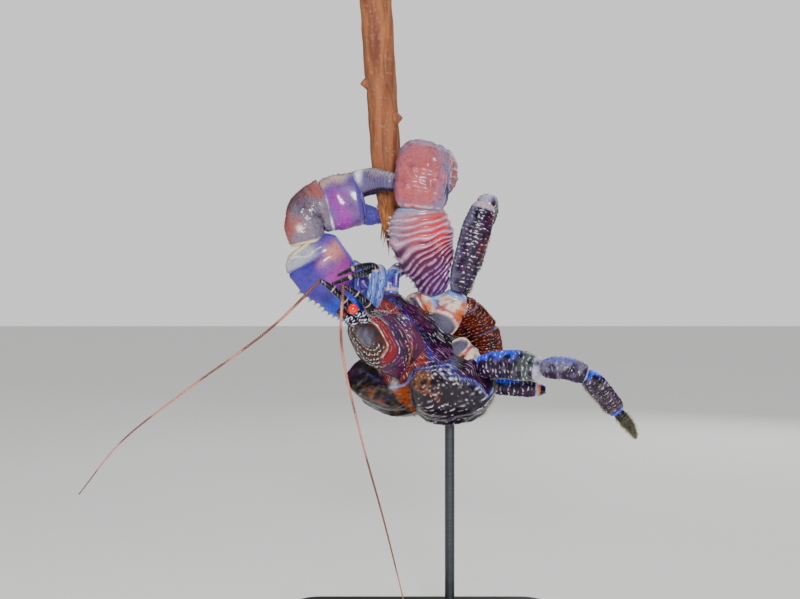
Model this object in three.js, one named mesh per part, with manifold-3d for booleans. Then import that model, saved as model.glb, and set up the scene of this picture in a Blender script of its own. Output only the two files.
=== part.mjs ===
// A coconut crab, Birgus latro, hanging by both claws from a cut branch, on a display stand.
// Millimetres, +Z up. The origin is the middle of the stand's underside.
import * as THREE from 'three';
import { mergeVertices } from 'three/addons/utils/BufferGeometryUtils.js';
import Module from 'manifold-3d';

const wasm = await Module();
wasm.setup();

// Driving sizes of the stand, the branch and the animal
const GAP = 0.3;
const BASE = { width: 250, depth: 190, height: 16, corner: 26, edge: 2 };
const ROD = { radius: 4.5, x: 26, y: 14, top: 238 };
const BRANCH = { radius: 15.5, top: 592, bottom: 372 };
const SHIELD = {
  length: 71,
  front: 31,
  middle: 37,
  tip: 4,
  thick: 4,
  crown: 8.4,
  slope: 9,
  sunk: 10.4,
  side: -6,
};
const ANTENNA = { root: 1.5, tip: 0.6 };

// The animal's own axes: forward to the head, out to its right side and up through its back
const FORWARD = new THREE.Vector3(-0.45, -0.42, 0.79).normalize();
const RIGHT = new THREE.Vector3(0.81, -0.57, 0.16).projectOnPlane(FORWARD).normalize();
const UP = new THREE.Vector3().crossVectors(RIGHT, FORWARD);
const SHIELD_TIP = new THREE.Vector3(-15.6, -40, 239.6);

const point = ([x, y, z]) => new THREE.Vector3(x, y, z);
const mix = THREE.MathUtils.lerp;
const ease = THREE.MathUtils.smoothstep;

function inBody(forward, right, up) {
  return SHIELD_TIP.clone()
    .addScaledVector(FORWARD, forward)
    .addScaledVector(RIGHT, right)
    .addScaledVector(UP, up);
}

// A closed three.js shape becomes a solid once its shared corners are merged
function solid(geometry) {
  geometry.deleteAttribute('normal');
  geometry.deleteAttribute('uv');
  const merged = mergeVertices(geometry, 1e-4);
  return new wasm.Manifold(new wasm.Mesh({
    numProp: 3,
    vertProperties: Float32Array.from(merged.attributes.position.array),
    triVerts: Uint32Array.from(merged.index.array),
  }));
}

// A globe's grid with every corner moved to place(round, along), both from 0 to 1, pole to pole
function skin(sides, rings, place) {
  const grid = new THREE.SphereGeometry(1, sides, rings);
  const { position, uv } = grid.attributes;
  for (let i = 0; i < position.count; i += 1) {
    const along = Math.round((1 - uv.getY(i)) * rings) / rings;
    const pole = along === 0 || along === 1;
    const round = pole ? 0 : (Math.round(uv.getX(i) * sides) % sides) / sides;
    position.setXYZ(i, ...place(round, along));
  }
  return solid(grid);
}

function largest(body) {
  const pieces = body.decompose();
  return pieces.reduce((best, piece) => (piece.volume() > best.volume() ? piece : best));
}

// Rows of [share, values...] read at any share with soft steps between rows
function between(rows, share) {
  const next = Math.max(1, rows.findIndex((row) => row[0] >= share));
  const [a, b] = [rows[next - 1], rows[next]];
  const step = ease(share, a[0], b[0]);
  return a.slice(1).map((value, i) => mix(value, b[i + 1], step));
}

// A length of limb: rounded sections along a smooth curve, with rows of [share, half width, half depth].
// facing is the way that its depth points, and relief(share, round) raises ridges on its surface.
const LIMB = { facing: [0, 1, 0], square: 2.3, blunt: 5, relief: () => 0, sides: 12, rings: 9 };
function limb(shape) {
  const { path, rows, facing, square, blunt, relief, sides, rings } = { ...LIMB, ...shape };
  const curve = new THREE.CatmullRomCurve3(path.map(point), false, 'centripetal');
  const depthWay = point(facing);
  const at = (round, along, lift = 0) => {
    const tangent = curve.getTangentAt(along);
    const across = new THREE.Vector3().crossVectors(tangent, depthWay).normalize();
    const deep = new THREE.Vector3().crossVectors(tangent, across);
    const [width, depth] = between(rows, along);
    const end = Math.max(0, 1 - Math.abs(2 * along - 1) ** blunt) ** (1 / blunt);
    const angle = round * 2 * Math.PI;
    const power = 2 / square;
    const c = Math.sign(Math.cos(angle)) * Math.abs(Math.cos(angle)) ** power;
    const s = Math.sign(Math.sin(angle)) * Math.abs(Math.sin(angle)) ** power;
    const out = (end > 0 ? relief(along, round) : 0) + lift;
    return curve.getPointAt(along)
      .addScaledVector(across, -c * (width + out) * end)
      .addScaledVector(deep, s * (depth + out) * end)
      .addScaledVector(tangent, (2 * along - 1) * Math.max(0, lift));
  };
  const make = (grow) => skin(sides, rings, (round, along) => at(round, along, grow));
  return { at, make, root: path[0], curve };
}

// Cones rooted in a limb's surface along one line of it, from share a to share b, leaning to its far end
function spines(host, { round, from, to, count, length, radius, lean = 0.4, sink = 2.5, sides = 5 }) {
  return (grow) => Array.from({ length: count }, (_, i) => {
    const share = mix(from, to, count > 1 ? i / (count - 1) : 0.5);
    const size = 0.8 + 0.2 * Math.cos(i * 2.4);
    const root = host.at(round, share, -sink);
    const foot = host.at(round, share, 0);
    const way = foot.clone().sub(root).normalize()
      .addScaledVector(host.curve.getTangentAt(share), lean).normalize();
    const height = length * size + sink + grow;
    const cone = new THREE.ConeGeometry(radius * size + grow, height, sides).translate(0, height / 2, 0);
    cone.applyQuaternion(new THREE.Quaternion().setFromUnitVectors(new THREE.Vector3(0, 1, 0), way));
    return solid(cone.translate(root.x, root.y, root.z));
  });
}

function armed(host, ...rows) {
  const make = (grow) => wasm.Manifold.union([host.make(grow), ...rows.flatMap((row) => row(grow))]);
  return { ...host, make };
}

const nodes = [];
const add = (name, finish, piece) => nodes.push({ name, finish, ...piece });

const FINISH = {
  bark: { color: 0x8a5a38, roughness: 0.85, metalness: 0 },
  stand: { color: 0x2b2b2e, roughness: 0.45, metalness: 0.1 },
  shell: { color: 0x5c4a86, roughness: 0.35, metalness: 0 },
  claw: { color: 0xb48ab0, roughness: 0.35, metalness: 0 },
  leg: { color: 0x3a4a8e, roughness: 0.35, metalness: 0 },
  pale: { color: 0xd8d4d0, roughness: 0.4, metalness: 0 },
  feeler: { color: 0x9a6a5a, roughness: 0.5, metalness: 0 },
  eye: { color: 0xb01818, roughness: 0.1, metalness: 0 },
};

// The branch, the slab and the rod
const branch = limb({
  path: [[-26.6, 0, BRANCH.bottom], [-29.1, -3, 402.6], [-31.8, -6, 430], [-42.6, -20, BRANCH.top]],
  rows: [[0, 8, 7], [0.1, 13, 12], [0.22, 14.5, 14.5], [1, BRANCH.radius, BRANCH.radius]],
  blunt: 24,
  square: 2,
  sides: 14,
  rings: 10,
});
const knot = { count: 1, length: 6, radius: 3.4, lean: 0.9, sink: 5 };
add('perch', 'bark', armed(
  branch,
  spines(branch, { ...knot, round: 0.06, from: 0.47, to: 0.47 }),
  spines(branch, { ...knot, round: 0.48, from: 0.62, to: 0.62 }),
  spines(branch, { ...knot, round: 0.8, from: 0.76, to: 0.76 }),
));

function slab() {
  const { width, depth, height, corner, edge } = BASE;
  const [x, y] = [width / 2 - edge, depth / 2 - edge];
  const round = corner - edge;
  const outline = new THREE.Shape();
  outline.moveTo(x, -y + round);
  outline.absarc(x - round, y - round, round, 0, Math.PI / 2);
  outline.absarc(-x + round, y - round, round, Math.PI / 2, Math.PI);
  outline.absarc(-x + round, -y + round, round, Math.PI, Math.PI * 1.5);
  outline.absarc(x - round, -y + round, round, Math.PI * 1.5, Math.PI * 2);
  const bevel = { bevelEnabled: true, bevelThickness: edge, bevelSize: edge, bevelSegments: 1 };
  const shape = new THREE.ExtrudeGeometry(outline, { depth: height - 2 * edge, curveSegments: 4, ...bevel });
  return solid(shape.translate(0, 0, edge));
}
add('stand_base', 'stand', { make: slab, root: [0, 0, 0] });
add('stand_rod', 'stand', {
  root: [ROD.x, ROD.y, BASE.height + GAP],
  make: (grow) => {
    const height = ROD.top - BASE.height - GAP + grow;
    const rod = new THREE.CylinderGeometry(ROD.radius + grow, ROD.radius + grow, height, 20);
    return solid(rod.rotateX(Math.PI / 2).translate(ROD.x, ROD.y, BASE.height + GAP + height / 2));
  },
});

const EDGE_SPINE = { length: 2.6, radius: 1.5, lean: 0.5 };

// The left claw, its inner face to the front, one finger before the branch and one beside it
add('left_claw_finger', 'claw', limb({
  path: [[-58, -12, 416], [-45, -19, 419], [-30, -29, 417.5], [-15, -33, 410]],
  rows: [[0, 11, 9], [0.3, 11, 8.5], [0.7, 8, 7], [1, 4, 4]],
  square: 2,
}));
const leftPalm = limb({
  path: [[-88, -12, 397], [-74, -11, 400], [-55, -9, 403]],
  rows: [[0, 22, 14], [0.4, 25, 17], [0.8, 23, 15], [1, 18, 12]],
  square: 2.5,
  blunt: 4,
});
const leftPollex = limb({
  path: [[-64, -8, 392], [-50, -4, 389], [-38.5, 4, 387], [-33, 15, 386]],
  rows: [[0, 12, 10], [0.4, 9, 8], [0.75, 5.5, 5.5], [1, 2, 2]],
  square: 2,
});
add('left_claw_palm', 'claw', {
  ...leftPalm,
  make: (grow) => leftPalm.make(grow).add(leftPollex.make(grow)),
});
add('left_claw_carpus', 'claw', limb({
  path: [[-103, -13, 362], [-106, -14, 379], [-100, -13, 392], [-85, -11, 398]],
  rows: [[0, 16, 14], [0.3, 17, 17], [0.65, 20, 18], [1, 25, 16]],
  blunt: 8,
}));
const leftMerus = limb({
  path: [[-59, 2, 294], [-70, -3, 311], [-86, -9, 334], [-107, -13, 362]],
  rows: [[0, 10, 10], [0.3, 20, 13], [0.62, 28, 15], [0.85, 27, 14], [1, 22, 13]],
  blunt: 7,
  rings: 10,
});
add('left_claw_merus', 'claw', armed(
  leftMerus,
  spines(leftMerus, { ...EDGE_SPINE, round: 0.5, from: 0.14, to: 0.84, count: 11 }),
));
add('left_claw_base', 'pale', limb({
  path: [[-38, 2, 285], [-48, 2, 288], [-60, 2, 295]],
  rows: [[0, 14, 13], [1, 11, 11]],
}));

// The right claw, its outer face to the front, its fingers closed behind the branch
add('right_claw_finger', 'claw', limb({
  path: [[2, 21, 430], [-10, 27, 433], [-26, 27, 434], [-40, 15, 431]],
  rows: [[0, 10, 9], [0.5, 8, 7], [1, 3, 3]],
  square: 2,
}));
const rightPalm = limb({
  path: [[11, -32, 430], [16, -14, 429], [14, 4, 425], [3, 19, 422]],
  rows: [[0, 17, 15], [0.5, 20, 16], [1, 15, 13]],
  facing: [1, 0.3, 0],
  blunt: 4,
});
const rightPollex = limb({
  path: [[5, 14, 414], [-4, 14, 409], [-11, 4, 406]],
  rows: [[0, 9, 8], [0.5, 7, 6], [1, 2.5, 2.5]],
  square: 2,
});
add('right_claw_palm', 'claw', {
  ...rightPalm,
  make: (grow) => rightPalm.make(grow).add(rightPollex.make(grow)),
});
add('right_claw_carpus', 'claw', limb({
  path: [[-2, -51, 394], [-1, -53, 412], [3, -48, 428], [12, -35, 434]],
  rows: [[0, 21, 14], [0.4, 23, 17], [0.8, 21, 16], [1, 17, 14]],
}));
const MERUS_RIDGES = { tall: 0.7, count: 15, until: 0.92 };
function merusRidge(share, round) {
  const tall = share < MERUS_RIDGES.until ? MERUS_RIDGES.tall : 0;
  return tall * Math.cos(share * Math.PI * 2 * MERUS_RIDGES.count) * Math.sin(round * 2 * Math.PI);
}
const rightMerus = limb({
  path: [[13, -23, 312], [6, -33, 338], [-1, -43, 364], [-4, -51, 395]],
  rows: [[0, 8, 9], [0.2, 16, 12], [0.45, 25, 15], [0.7, 28, 16], [0.9, 25, 15], [1, 21, 13]],
  relief: merusRidge,
  rings: 2 * MERUS_RIDGES.count,
});
add('right_claw_merus', 'claw', armed(
  rightMerus,
  spines(rightMerus, { ...EDGE_SPINE, round: 0.5, from: 0.16, to: 0.86, count: 12 }),
));
add('right_claw_base', 'pale', limb({
  path: [[-8, -14, 303], [1, -18, 308], [13, -23, 313]],
  rows: [[0, 14, 13], [1, 10, 11]],
}));

// The second, third and fourth legs of each side, from the tip to the body
const RUGAE = { tall: 0.45, rings: { merus: 22, carpus: 14, propodus: 14 } };
const LEG_FORMS = {
  dactyl: { finish: 'leg', rows: [[0, 5.5, 5], [0.4, 5, 4.5], [1, 1.3, 1.3]], square: 2 },
  propodus: { finish: 'leg', rows: [[0, 8, 7], [0.2, 9.5, 8], [0.8, 9, 7.5], [1, 6.5, 6]] },
  carpus: { finish: 'leg', rows: [[0, 8, 7.5], [0.3, 10, 9], [0.8, 10, 9], [1, 7.5, 7]] },
  merus: { finish: 'leg', rows: [[0, 9.5, 9], [0.25, 12, 10.5], [0.7, 13.5, 11.5], [1, 10.5, 10]] },
  base: { finish: 'pale', rows: [[0, 15, 13], [0.6, 14, 12], [1, 10, 9.5]] },
  slim_tip: { finish: 'leg', rows: [[0, 5, 4.5], [0.5, 5.5, 4.5], [1, 2, 2]] },
  slim_carpus: { finish: 'leg', rows: [[0, 6, 5.5], [0.5, 7, 6], [1, 5, 4.5]] },
  slim_merus: { finish: 'leg', rows: [[0, 7, 7], [0.3, 8, 8], [0.8, 8, 7.5], [1, 6, 6]] },
};
const LEGS = {
  right_leg2: {
    dactyl: [[46.9, 47, 336], [42, 50, 320], [35, 48, 308]],
    propodus: [[57, 21, 382], [53, 36, 362], [46.9, 47, 337]],
    carpus: [[57.5, -24, 400], [60, -2, 396], [57, 22, 382]],
    merus: [[31.5, -28, 318], [42, -31, 355], [55.4, -29, 398]],
    base: [[13, -14, 287], [22, -22, 298], [31.5, -27, 318]],
  },
  right_leg3: {
    dactyl: [[171, -40, 213.5], [184, -29, 199], [196, -15, 183]],
    propodus: [[140, -65, 247.5], [155.8, -53, 231], [171, -40, 213.5]],
    carpus: [[101.5, -61, 252.5], [120, -67, 253.6], [140, -65, 247.5]],
    merus: [[49, -31, 252.5], [74, -47, 255.4], [101.5, -61, 252.5]],
    base: [[27, -20, 270], [37, -26, 259], [49, -31, 252.5]],
  },
  right_leg4: {
    slim_tip: [[86, 36, 227], [66, 52, 229], [52, 60, 234]],
    slim_carpus: [[107, -14, 231], [103, 10, 229], [86, 36, 227]],
    slim_merus: [[50, -1, 235], [76, -8, 233], [107, -14, 231]],
  },
  left_leg2: {
    dactyl: [[-57.5, 109, 288], [-43, 105, 275], [-34, 95, 267]],
    propodus: [[-92, 88, 331], [-75, 103, 309.5], [-57.5, 109, 288]],
    carpus: [[-95, 47, 355], [-100, 72, 349], [-92, 88, 331]],
    merus: [[-50, 19, 278], [-70, 33, 311.5], [-95, 47, 355]],
    base: [[-34, 14, 268], [-42, 16, 272], [-50, 19, 278]],
  },
  left_leg3: {
    dactyl: [[27, 124, 252], [46, 110, 259], [54, 93, 266]],
    propodus: [[-27, 135, 243], [1, 137, 247.5], [27, 124, 252]],
    carpus: [[-58, 106, 233], [-46, 126, 239.5], [-27, 135, 243]],
    merus: [[-34, 35, 244], [-51, 70, 236], [-58, 106, 233]],
    base: [[-20, 24, 250], [-27, 29, 247], [-34, 35, 244]],
  },
  left_leg4: {
    slim_tip: [[-2, 104, 221], [14, 98, 224], [24, 88, 228]],
    slim_carpus: [[-30, 76, 219.5], [-22, 95, 220], [-2, 104, 221]],
    slim_merus: [[-8, 32, 230], [-21, 52, 221], [-30, 76, 219.5]],
  },
};
for (const [leg, pieces] of Object.entries(LEGS)) {
  for (const [form, path] of Object.entries(pieces)) {
    const { finish, ...shape } = LEG_FORMS[form];
    const deepens = Math.abs(path.at(-1)[1] - path[0][1]) > 30;
    const rings = leg.startsWith('right') ? RUGAE.rings[form] : undefined;
    const relief = rings && ((share) => RUGAE.tall * Math.cos(share * Math.PI * rings));
    const grid = rings ? { rings, relief } : { sides: leg.startsWith('right') ? 12 : 10, rings: 8 };
    const facing = deepens ? [0, 0.3, 1] : [0, 1, 0];
    add(`${leg}_${form.replace('slim_', '')}`, finish, limb({ path, ...shape, ...grid, facing }));
  }
}

// The feelers: two long whips, each in two lengths, on jointed stems, and two short antennules
const WHIPS = {
  left: [[-88, -73, 328], [-128.6, -87, 287.4], [-201.4, -99, 233.3], [-251.3, -97, 193.4], [-288.4, -89, 149.1]],
  right: [[-68, -74, 325], [-69, -85, 275], [-53.7, -91, 202.6], [-32.6, -81, 122.4], [-10.5, -59, 27]],
};
const STEMS = {
  left: [[-61, -60, 303], [-69.5, -67, 314], [-79.5, -71, 322.6], [-88, -73, 328.6]],
  right: [[-43, -57, 301], [-49, -65, 309], [-56, -70, 316], [-67.5, -73.5, 323.5]],
};
const ANTENNULES = {
  left: [[-46.8, -53, 304.6], [-44, -59, 322.8], [-41.5, -61, 340], [-54, -67, 340.2], [-73.3, -75, 332.3]],
  right: [[-40, -49, 304.6], [-37.3, -53, 322], [-36, -53, 338.4], [-49.2, -61, 335.6], [-77.8, -71, 325.2]],
};
const WHIP_FORM = { blunt: 40, square: 2, sides: 6, rings: 12 };
const STEM_FORM = { rows: [[0, 5, 5], [0.5, 3.6, 3.6], [1, 2.2, 2.2]], square: 2, sides: 8, rings: 8 };
const ANTENNULE_FORM = {
  rows: [[0, 4, 4], [0.42, 3.4, 3.4], [0.55, 2.6, 2.6], [1, 1.6, 1.6]],
  facing: [0.2, 1, 0.1],
  square: 2,
  sides: 7,
  rings: 11,
};
for (const side of ['left', 'right']) {
  const whip = new THREE.CatmullRomCurve3(WHIPS[side].map(point), false, 'centripetal');
  for (const [name, from, to] of [['outer', 0.5, 1], ['inner', 0, 0.5]]) {
    const path = [0, 0.25, 0.5, 0.75, 1].map((share) => whip.getPointAt(mix(from, to, share)).toArray());
    const [thick, thin] = [from, to].map((share) => mix(ANTENNA.root, ANTENNA.tip, share));
    const rows = [[0, thick, thick], [1, thin, thin]];
    add(`${side}_antenna_${name}`, 'feeler', limb({ path, rows, ...WHIP_FORM }));
  }
  add(`${side}_antenna_stem`, 'leg', limb({ path: STEMS[side], ...STEM_FORM }));
  add(`${side}_antennule`, 'leg', limb({ path: ANTENNULES[side], ...ANTENNULE_FORM }));
}

// The eyes: a red ball on a short stalk
const EYES = {
  left: [[-58, -60, 292], [-69.4, -69, 300.5]],
  right: [[-49, -65, 294], [-59.8, -75, 304]],
};
const EYE_BALL = 4.6;
const STALK_FORM = { rows: [[0, 4.5, 4.5], [1, 3.4, 3.4]], square: 2, sides: 10, rings: 6 };
for (const side of ['left', 'right']) {
  const [root, ball] = EYES[side];
  const middle = root.map((value, i) => mix(value, ball[i], 0.8));
  add(`${side}_eye`, 'eye', {
    root: ball,
    make: (grow) => solid(new THREE.SphereGeometry(EYE_BALL + grow, 12, 8).translate(...ball)),
  });
  add(`${side}_eye_stalk`, 'leg', limb({ path: [root, middle], ...STALK_FORM }));
}

// The mouth feet that reach out over the face
const MOUTH_FEET = {
  left: [[-42, -20, 303], [-53, -32, 322], [-53.6, -31, 334.6], [-62, -19, 345.6]],
  right: [[-28, -26, 302], [-28, -31, 320.4], [-26.2, -27, 333.8], [-18.2, -17, 340.3], [-10, -9, 344.1]],
};
for (const side of ['left', 'right']) {
  const rows = [[0, 8, 8], [0.35, 7, 6.5], [0.7, 6.5, 6], [1, 3.5, 3.5]];
  add(`${side}_mouth_foot`, 'pale', limb({ path: MOUTH_FEET[side], rows, square: 2, sides: 10, rings: 12 }));
}

// The tail, folded forward under the body: three broad plated lengths and the tail tip
const TAIL = {
  path: [[-54, -5, -52], [-58, -3, -72], [-42, 0, -97], [-8, 0, -102], [26, 0, -92]],
  rows: [[0, 34, 15], [0.3, 40, 16], [0.55, 44, 16], [0.8, 38, 13], [1, 18, 6]],
  lengths: [
    ['tail_tip', 0.8, 1],
    ['tail_rear', 0.56, 0.8],
    ['tail_middle', 0.3, 0.56],
    ['tail_front', 0, 0.3],
  ],
};
const tailPoints = TAIL.path.map((place) => inBody(...place));
const tailLine = new THREE.CatmullRomCurve3(tailPoints, false, 'centripetal');
for (const [name, from, to] of TAIL.lengths) {
  const path = [0, 0.5, 1].map((share) => tailLine.getPointAt(mix(from, to, share)).toArray());
  const rows = [0, 0.5, 1].map((share) => [share, ...between(TAIL.rows, mix(from, to, share))]);
  const tangent = tailLine.getTangentAt((from + to) / 2);
  const facing = new THREE.Vector3().crossVectors(RIGHT, tangent).toArray();
  add(name, 'shell', limb({ path, rows, facing, blunt: 12, sides: 18, rings: 6 }));
}

// The head shield: a domed plate, broad in front and drawn to a point behind
const SHIELD_WIDTHS = [[0, SHIELD.tip], [0.4, SHIELD.middle], [0.75, SHIELD.middle], [1, SHIELD.front]];
function shieldPlate(grow) {
  return skin(24, 12, (round, along) => {
    const angle = round * 2 * Math.PI;
    const reach = Math.sin(along * Math.PI) ** 0.6;
    const c = Math.cos(angle);
    const forward = SHIELD.length * (0.5 - 0.5 * Math.sign(c) * Math.abs(c) ** 0.7 * reach);
    const share = THREE.MathUtils.clamp(forward / SHIELD.length, 0, 1);
    const side = Math.sin(angle) * between(SHIELD_WIDTHS, share)[0] * reach;
    const middle = SHIELD.crown * (1 - (side / SHIELD.middle) ** 2) - SHIELD.slope * share ** 2 - SHIELD.sunk;
    const face = along < 0.5 ? 1 : -1;
    const up = middle + face * ((SHIELD.thick / 2) * (1 - reach ** 4) + grow);
    return inBody(forward, side + SHIELD.side, up);
  });
}
add('head_shield', 'shell', { make: shieldPlate, root: inBody(30, 0, 0).toArray() });

// The body under the shield: narrow in front, with two swollen gill lobes behind a fold
const BODY = {
  rows: [
    // forward, half width, top, level of the widest line, underside
    [72, 14, -22, -30, -40],
    [60, 20, -15, -30, -50],
    [42, 26, -9, -30, -60],
    [20, 32, -5, -32, -68],
    [0, 40, -7, -34, -72],
    [-8, 57, 0, -32, -72],
    [-24, 68, 4, -30, -70],
    [-44, 60, -2, -32, -64],
    [-62, 36, -16, -34, -52],
  ],
  valley: 9,
  turn: 0.36,
  lean: -4,
  ridge: 0.8,
};
const BODY_GRID = { sides: 36, rings: 22 };
function bodyPlace(round, along) {
  const rows = BODY.rows.map(([forward, ...rest]) => [-forward, ...rest]);
  const forward = mix(72, -62, 0.5 - 0.5 * Math.cos(along * Math.PI));
  const [half, top, level, under] = between(rows, -forward);
  const end = Math.max(0, 1 - Math.abs(Math.cos(along * Math.PI)) ** 6) ** (1 / 6);
  const angle = round * 2 * Math.PI;
  const c = Math.sign(Math.cos(angle)) * Math.abs(Math.cos(angle)) ** 0.85;
  const s = Math.sign(Math.sin(angle)) * Math.abs(Math.sin(angle)) ** 0.85;
  const side = -half * c * end;
  const column = Math.round(round * BODY_GRID.sides);
  const flank = forward > 2 && forward < 58 && Math.abs(c) > 0.55 && s > -0.2;
  const ridge = flank ? (BODY.ridge / 2) * (column % 2 ? 1 : -1) : 0;
  const rear = ease(-forward, -4, 26);
  const valley = BODY.valley * rear * Math.exp(-((side / 11) ** 2)) * (s > 0 ? s : 0);
  const up = level + (s > 0 ? top - level : level - under) * s * end - valley + ridge * Math.max(0, s);
  const turned = BODY.turn * rear;
  const out = side + Math.sign(side) * ridge * Math.abs(c);
  return inBody(forward - turned * side, out + BODY.lean + turned * (forward + 4), up);
}
add('thorax', 'shell', {
  make: () => skin(BODY_GRID.sides, BODY_GRID.rings, bodyPlace),
  root: inBody(0, 0, -40).toArray(),
});

// Every piece is cut clear of those before it, by the gap that touching pieces keep
function boxesMeet(a, b) {
  return [0, 1, 2].every((i) => a.min[i] < b.max[i] && b.min[i] < a.max[i]);
}

const crab = new THREE.Group();
const done = [];
for (const node of nodes) {
  let body = node.make(0);
  for (const earlier of done) {
    earlier.grown ??= earlier.make(GAP);
    if (boxesMeet(body.boundingBox(), earlier.grown.boundingBox())) body = body.subtract(earlier.grown);
  }
  body = largest(body);
  done.push(node);
  const { vertProperties, triVerts } = body.getMesh();
  const geometry = new THREE.BufferGeometry();
  geometry.setAttribute('position', new THREE.BufferAttribute(Float32Array.from(vertProperties), 3));
  geometry.setIndex(new THREE.BufferAttribute(Uint32Array.from(triVerts), 1));
  geometry.translate(...node.root.map((value) => -value));
  geometry.computeVertexNormals();
  const mesh = new THREE.Mesh(geometry, new THREE.MeshStandardMaterial(FINISH[node.finish]));
  mesh.name = node.name;
  mesh.position.set(...node.root);
  crab.add(mesh);
}

export default crab;
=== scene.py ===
import math
from collections import namedtuple
import bpy
import numpy as np
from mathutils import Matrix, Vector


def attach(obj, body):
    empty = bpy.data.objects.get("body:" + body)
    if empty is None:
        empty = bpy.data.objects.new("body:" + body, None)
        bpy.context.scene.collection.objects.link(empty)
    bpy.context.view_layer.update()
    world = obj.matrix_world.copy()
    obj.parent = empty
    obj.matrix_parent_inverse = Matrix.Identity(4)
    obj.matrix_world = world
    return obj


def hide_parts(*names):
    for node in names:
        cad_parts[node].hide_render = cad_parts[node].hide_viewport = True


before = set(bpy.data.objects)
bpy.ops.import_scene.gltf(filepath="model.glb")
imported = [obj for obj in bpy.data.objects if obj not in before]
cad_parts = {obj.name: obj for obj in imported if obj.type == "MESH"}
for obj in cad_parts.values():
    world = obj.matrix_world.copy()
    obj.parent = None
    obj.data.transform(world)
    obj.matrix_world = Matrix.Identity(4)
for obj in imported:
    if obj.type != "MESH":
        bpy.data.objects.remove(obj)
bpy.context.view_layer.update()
MM = 0.001

# The display stand: a slab of black-stained board with a fine grain, and a dark steel rod let into
# it that reaches up into the body. Both are the CAD's own solids with a lacquer and a metal finish.


class Wire:
    """A node's output; +, - and * with it, on either side, add Math nodes."""

    def __init__(self, paint, socket):
        self.paint = paint
        self.socket = socket

    def math(self, operation, a, b):
        return self.paint.add("ShaderNodeMath", {"operation": operation}, {0: a, 1: b})

    def __add__(self, other):
        return self.math("ADD", self, other)

    def __radd__(self, other):
        return self.math("ADD", other, self)

    def __sub__(self, other):
        return self.math("SUBTRACT", self, other)

    def __rsub__(self, other):
        return self.math("SUBTRACT", other, self)

    def __mul__(self, other):
        return self.math("MULTIPLY", self, other)

    def __rmul__(self, other):
        return self.math("MULTIPLY", other, self)

    def step(self, low, high):
        """0 below low, 1 above high and a soft S between."""
        return self.paint.add(
            "ShaderNodeMapRange",
            {"interpolation_type": "SMOOTHSTEP"},
            {"Value": self, "From Min": low, "From Max": high},
        )


def rgb(text):
    """A colour written as sRGB hex, as the linear numbers that a socket takes."""
    parts = [int(text[i : i + 2], 16) / 255 for i in (1, 3, 5)]
    return tuple(p / 12.92 if p < 0.04045 else ((p + 0.055) / 1.055) ** 2.4 for p in parts)


class Paint:
    """A material, or the world, while its nodes are being joined."""

    def __init__(self, name, store=bpy.data.materials):
        self.block = store.new(name)
        self.block.use_nodes = True
        self.tree = self.block.node_tree
        self.tree.nodes.clear()
        self.place = self.add("ShaderNodeTexCoord", out="Object")

    def add(self, kind, settings=None, sockets=None, out=0):
        """One node: its settings, then the value or the wire of each socket named."""
        node = self.tree.nodes.new(kind)
        for key, value in (settings or {}).items():
            setattr(node, key, value)
        for key, value in (sockets or {}).items():
            socket = node.inputs[key]
            if isinstance(value, Wire):
                self.tree.links.new(value.socket, socket)
            elif isinstance(value, str):
                socket.default_value = (*rgb(value), 1.0)
            else:
                socket.default_value = value
        return Wire(self, node.outputs[out]) if node.outputs else node

    def noise(self, scale, detail=3.0, stretch=(1, 1, 1)):
        """Soft noise from 0 to 1 on the object's own coordinates."""
        mapping = self.add("ShaderNodeMapping", None, {"Vector": self.place, "Scale": stretch})
        return self.add("ShaderNodeTexNoise", None, {"Vector": mapping, "Scale": scale, "Detail": detail})

    def mask(self, name):
        return self.add("ShaderNodeAttribute", {"attribute_name": name}, out="Fac")

    def blend(self, share, under, over, how="MIX"):
        """Colour over laid on colour under by the share."""
        settings = {"data_type": "RGBA", "blend_type": how}
        return self.add("ShaderNodeMix", settings, {0: share, 6: under, 7: over}, out=2)

    def finish(self, colour, roughness, height, depth, **constants):
        """The surface itself: colour, roughness, and a bump of depth metres from height."""
        bump = self.add("ShaderNodeBump", None, {"Height": height, "Distance": depth, "Strength": 1.0})
        sockets = {"Base Color": colour, "Roughness": roughness, "Normal": bump}
        sockets.update({key.replace("_", " "): value for key, value in constants.items()})
        surface = self.add("ShaderNodeBsdfPrincipled", None, sockets)
        self.add("ShaderNodeOutputMaterial", None, {"Surface": surface})
        return self.block


def lacquer():
    """Black stain over a fine grain that runs along X, a little worn and uneven in gloss."""
    paint = Paint("black_lacquered_board")
    grain = paint.noise(60, 6, (0.35, 6, 1))
    cloud = paint.noise(18, 3)
    colour = paint.blend(grain.step(0.35, 0.75), "#16130f", "#2c2620")
    roughness = 0.3 + grain * 0.12 + cloud * 0.1
    return paint.finish(colour, roughness, grain, 0.0002, Coat_Weight=0.35, Coat_Roughness=0.18)


def rod_steel():
    """Dark drawn steel with fine lines round the rod."""
    paint = Paint("dark_rod_steel")
    lines = paint.noise(240, 2, (0.4, 0.4, 7))
    colour = paint.blend(lines, "#34363a", "#5d6066")
    roughness = 0.26 + lines * 0.14
    return paint.finish(colour, roughness, lines, 0.00004, Metallic=0.9)


for node, material in (("stand_base", lacquer()), ("stand_rod", rod_steel())):
    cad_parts[node].data.materials.clear()
    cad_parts[node].data.materials.append(material)

# The branch: a straight cut length of brown bark with stubs of twigs, sawn off above and torn to
# long fibres below. One skin carried along the branch, with its splinters as a second piece.


def unit(value):
    """The value held between 0 and 1."""
    return np.clip(value, 0, 1)


def between(rows, share):
    """Rows of [share, values...] read at any share, with a soft step from each row to the next."""
    rows = np.array(rows, float)
    near = np.clip(np.searchsorted(rows[:, 0], share, side="left"), 1, len(rows) - 1)
    a, b = rows[near - 1], rows[near]
    t = unit((share - a[..., 0]) / (b[..., 0] - a[..., 0]))
    t = (t * t * (3 - 2 * t))[..., None]
    return np.moveaxis(a[..., 1:] * (1 - t) + b[..., 1:] * t, -1, 0)


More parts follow.
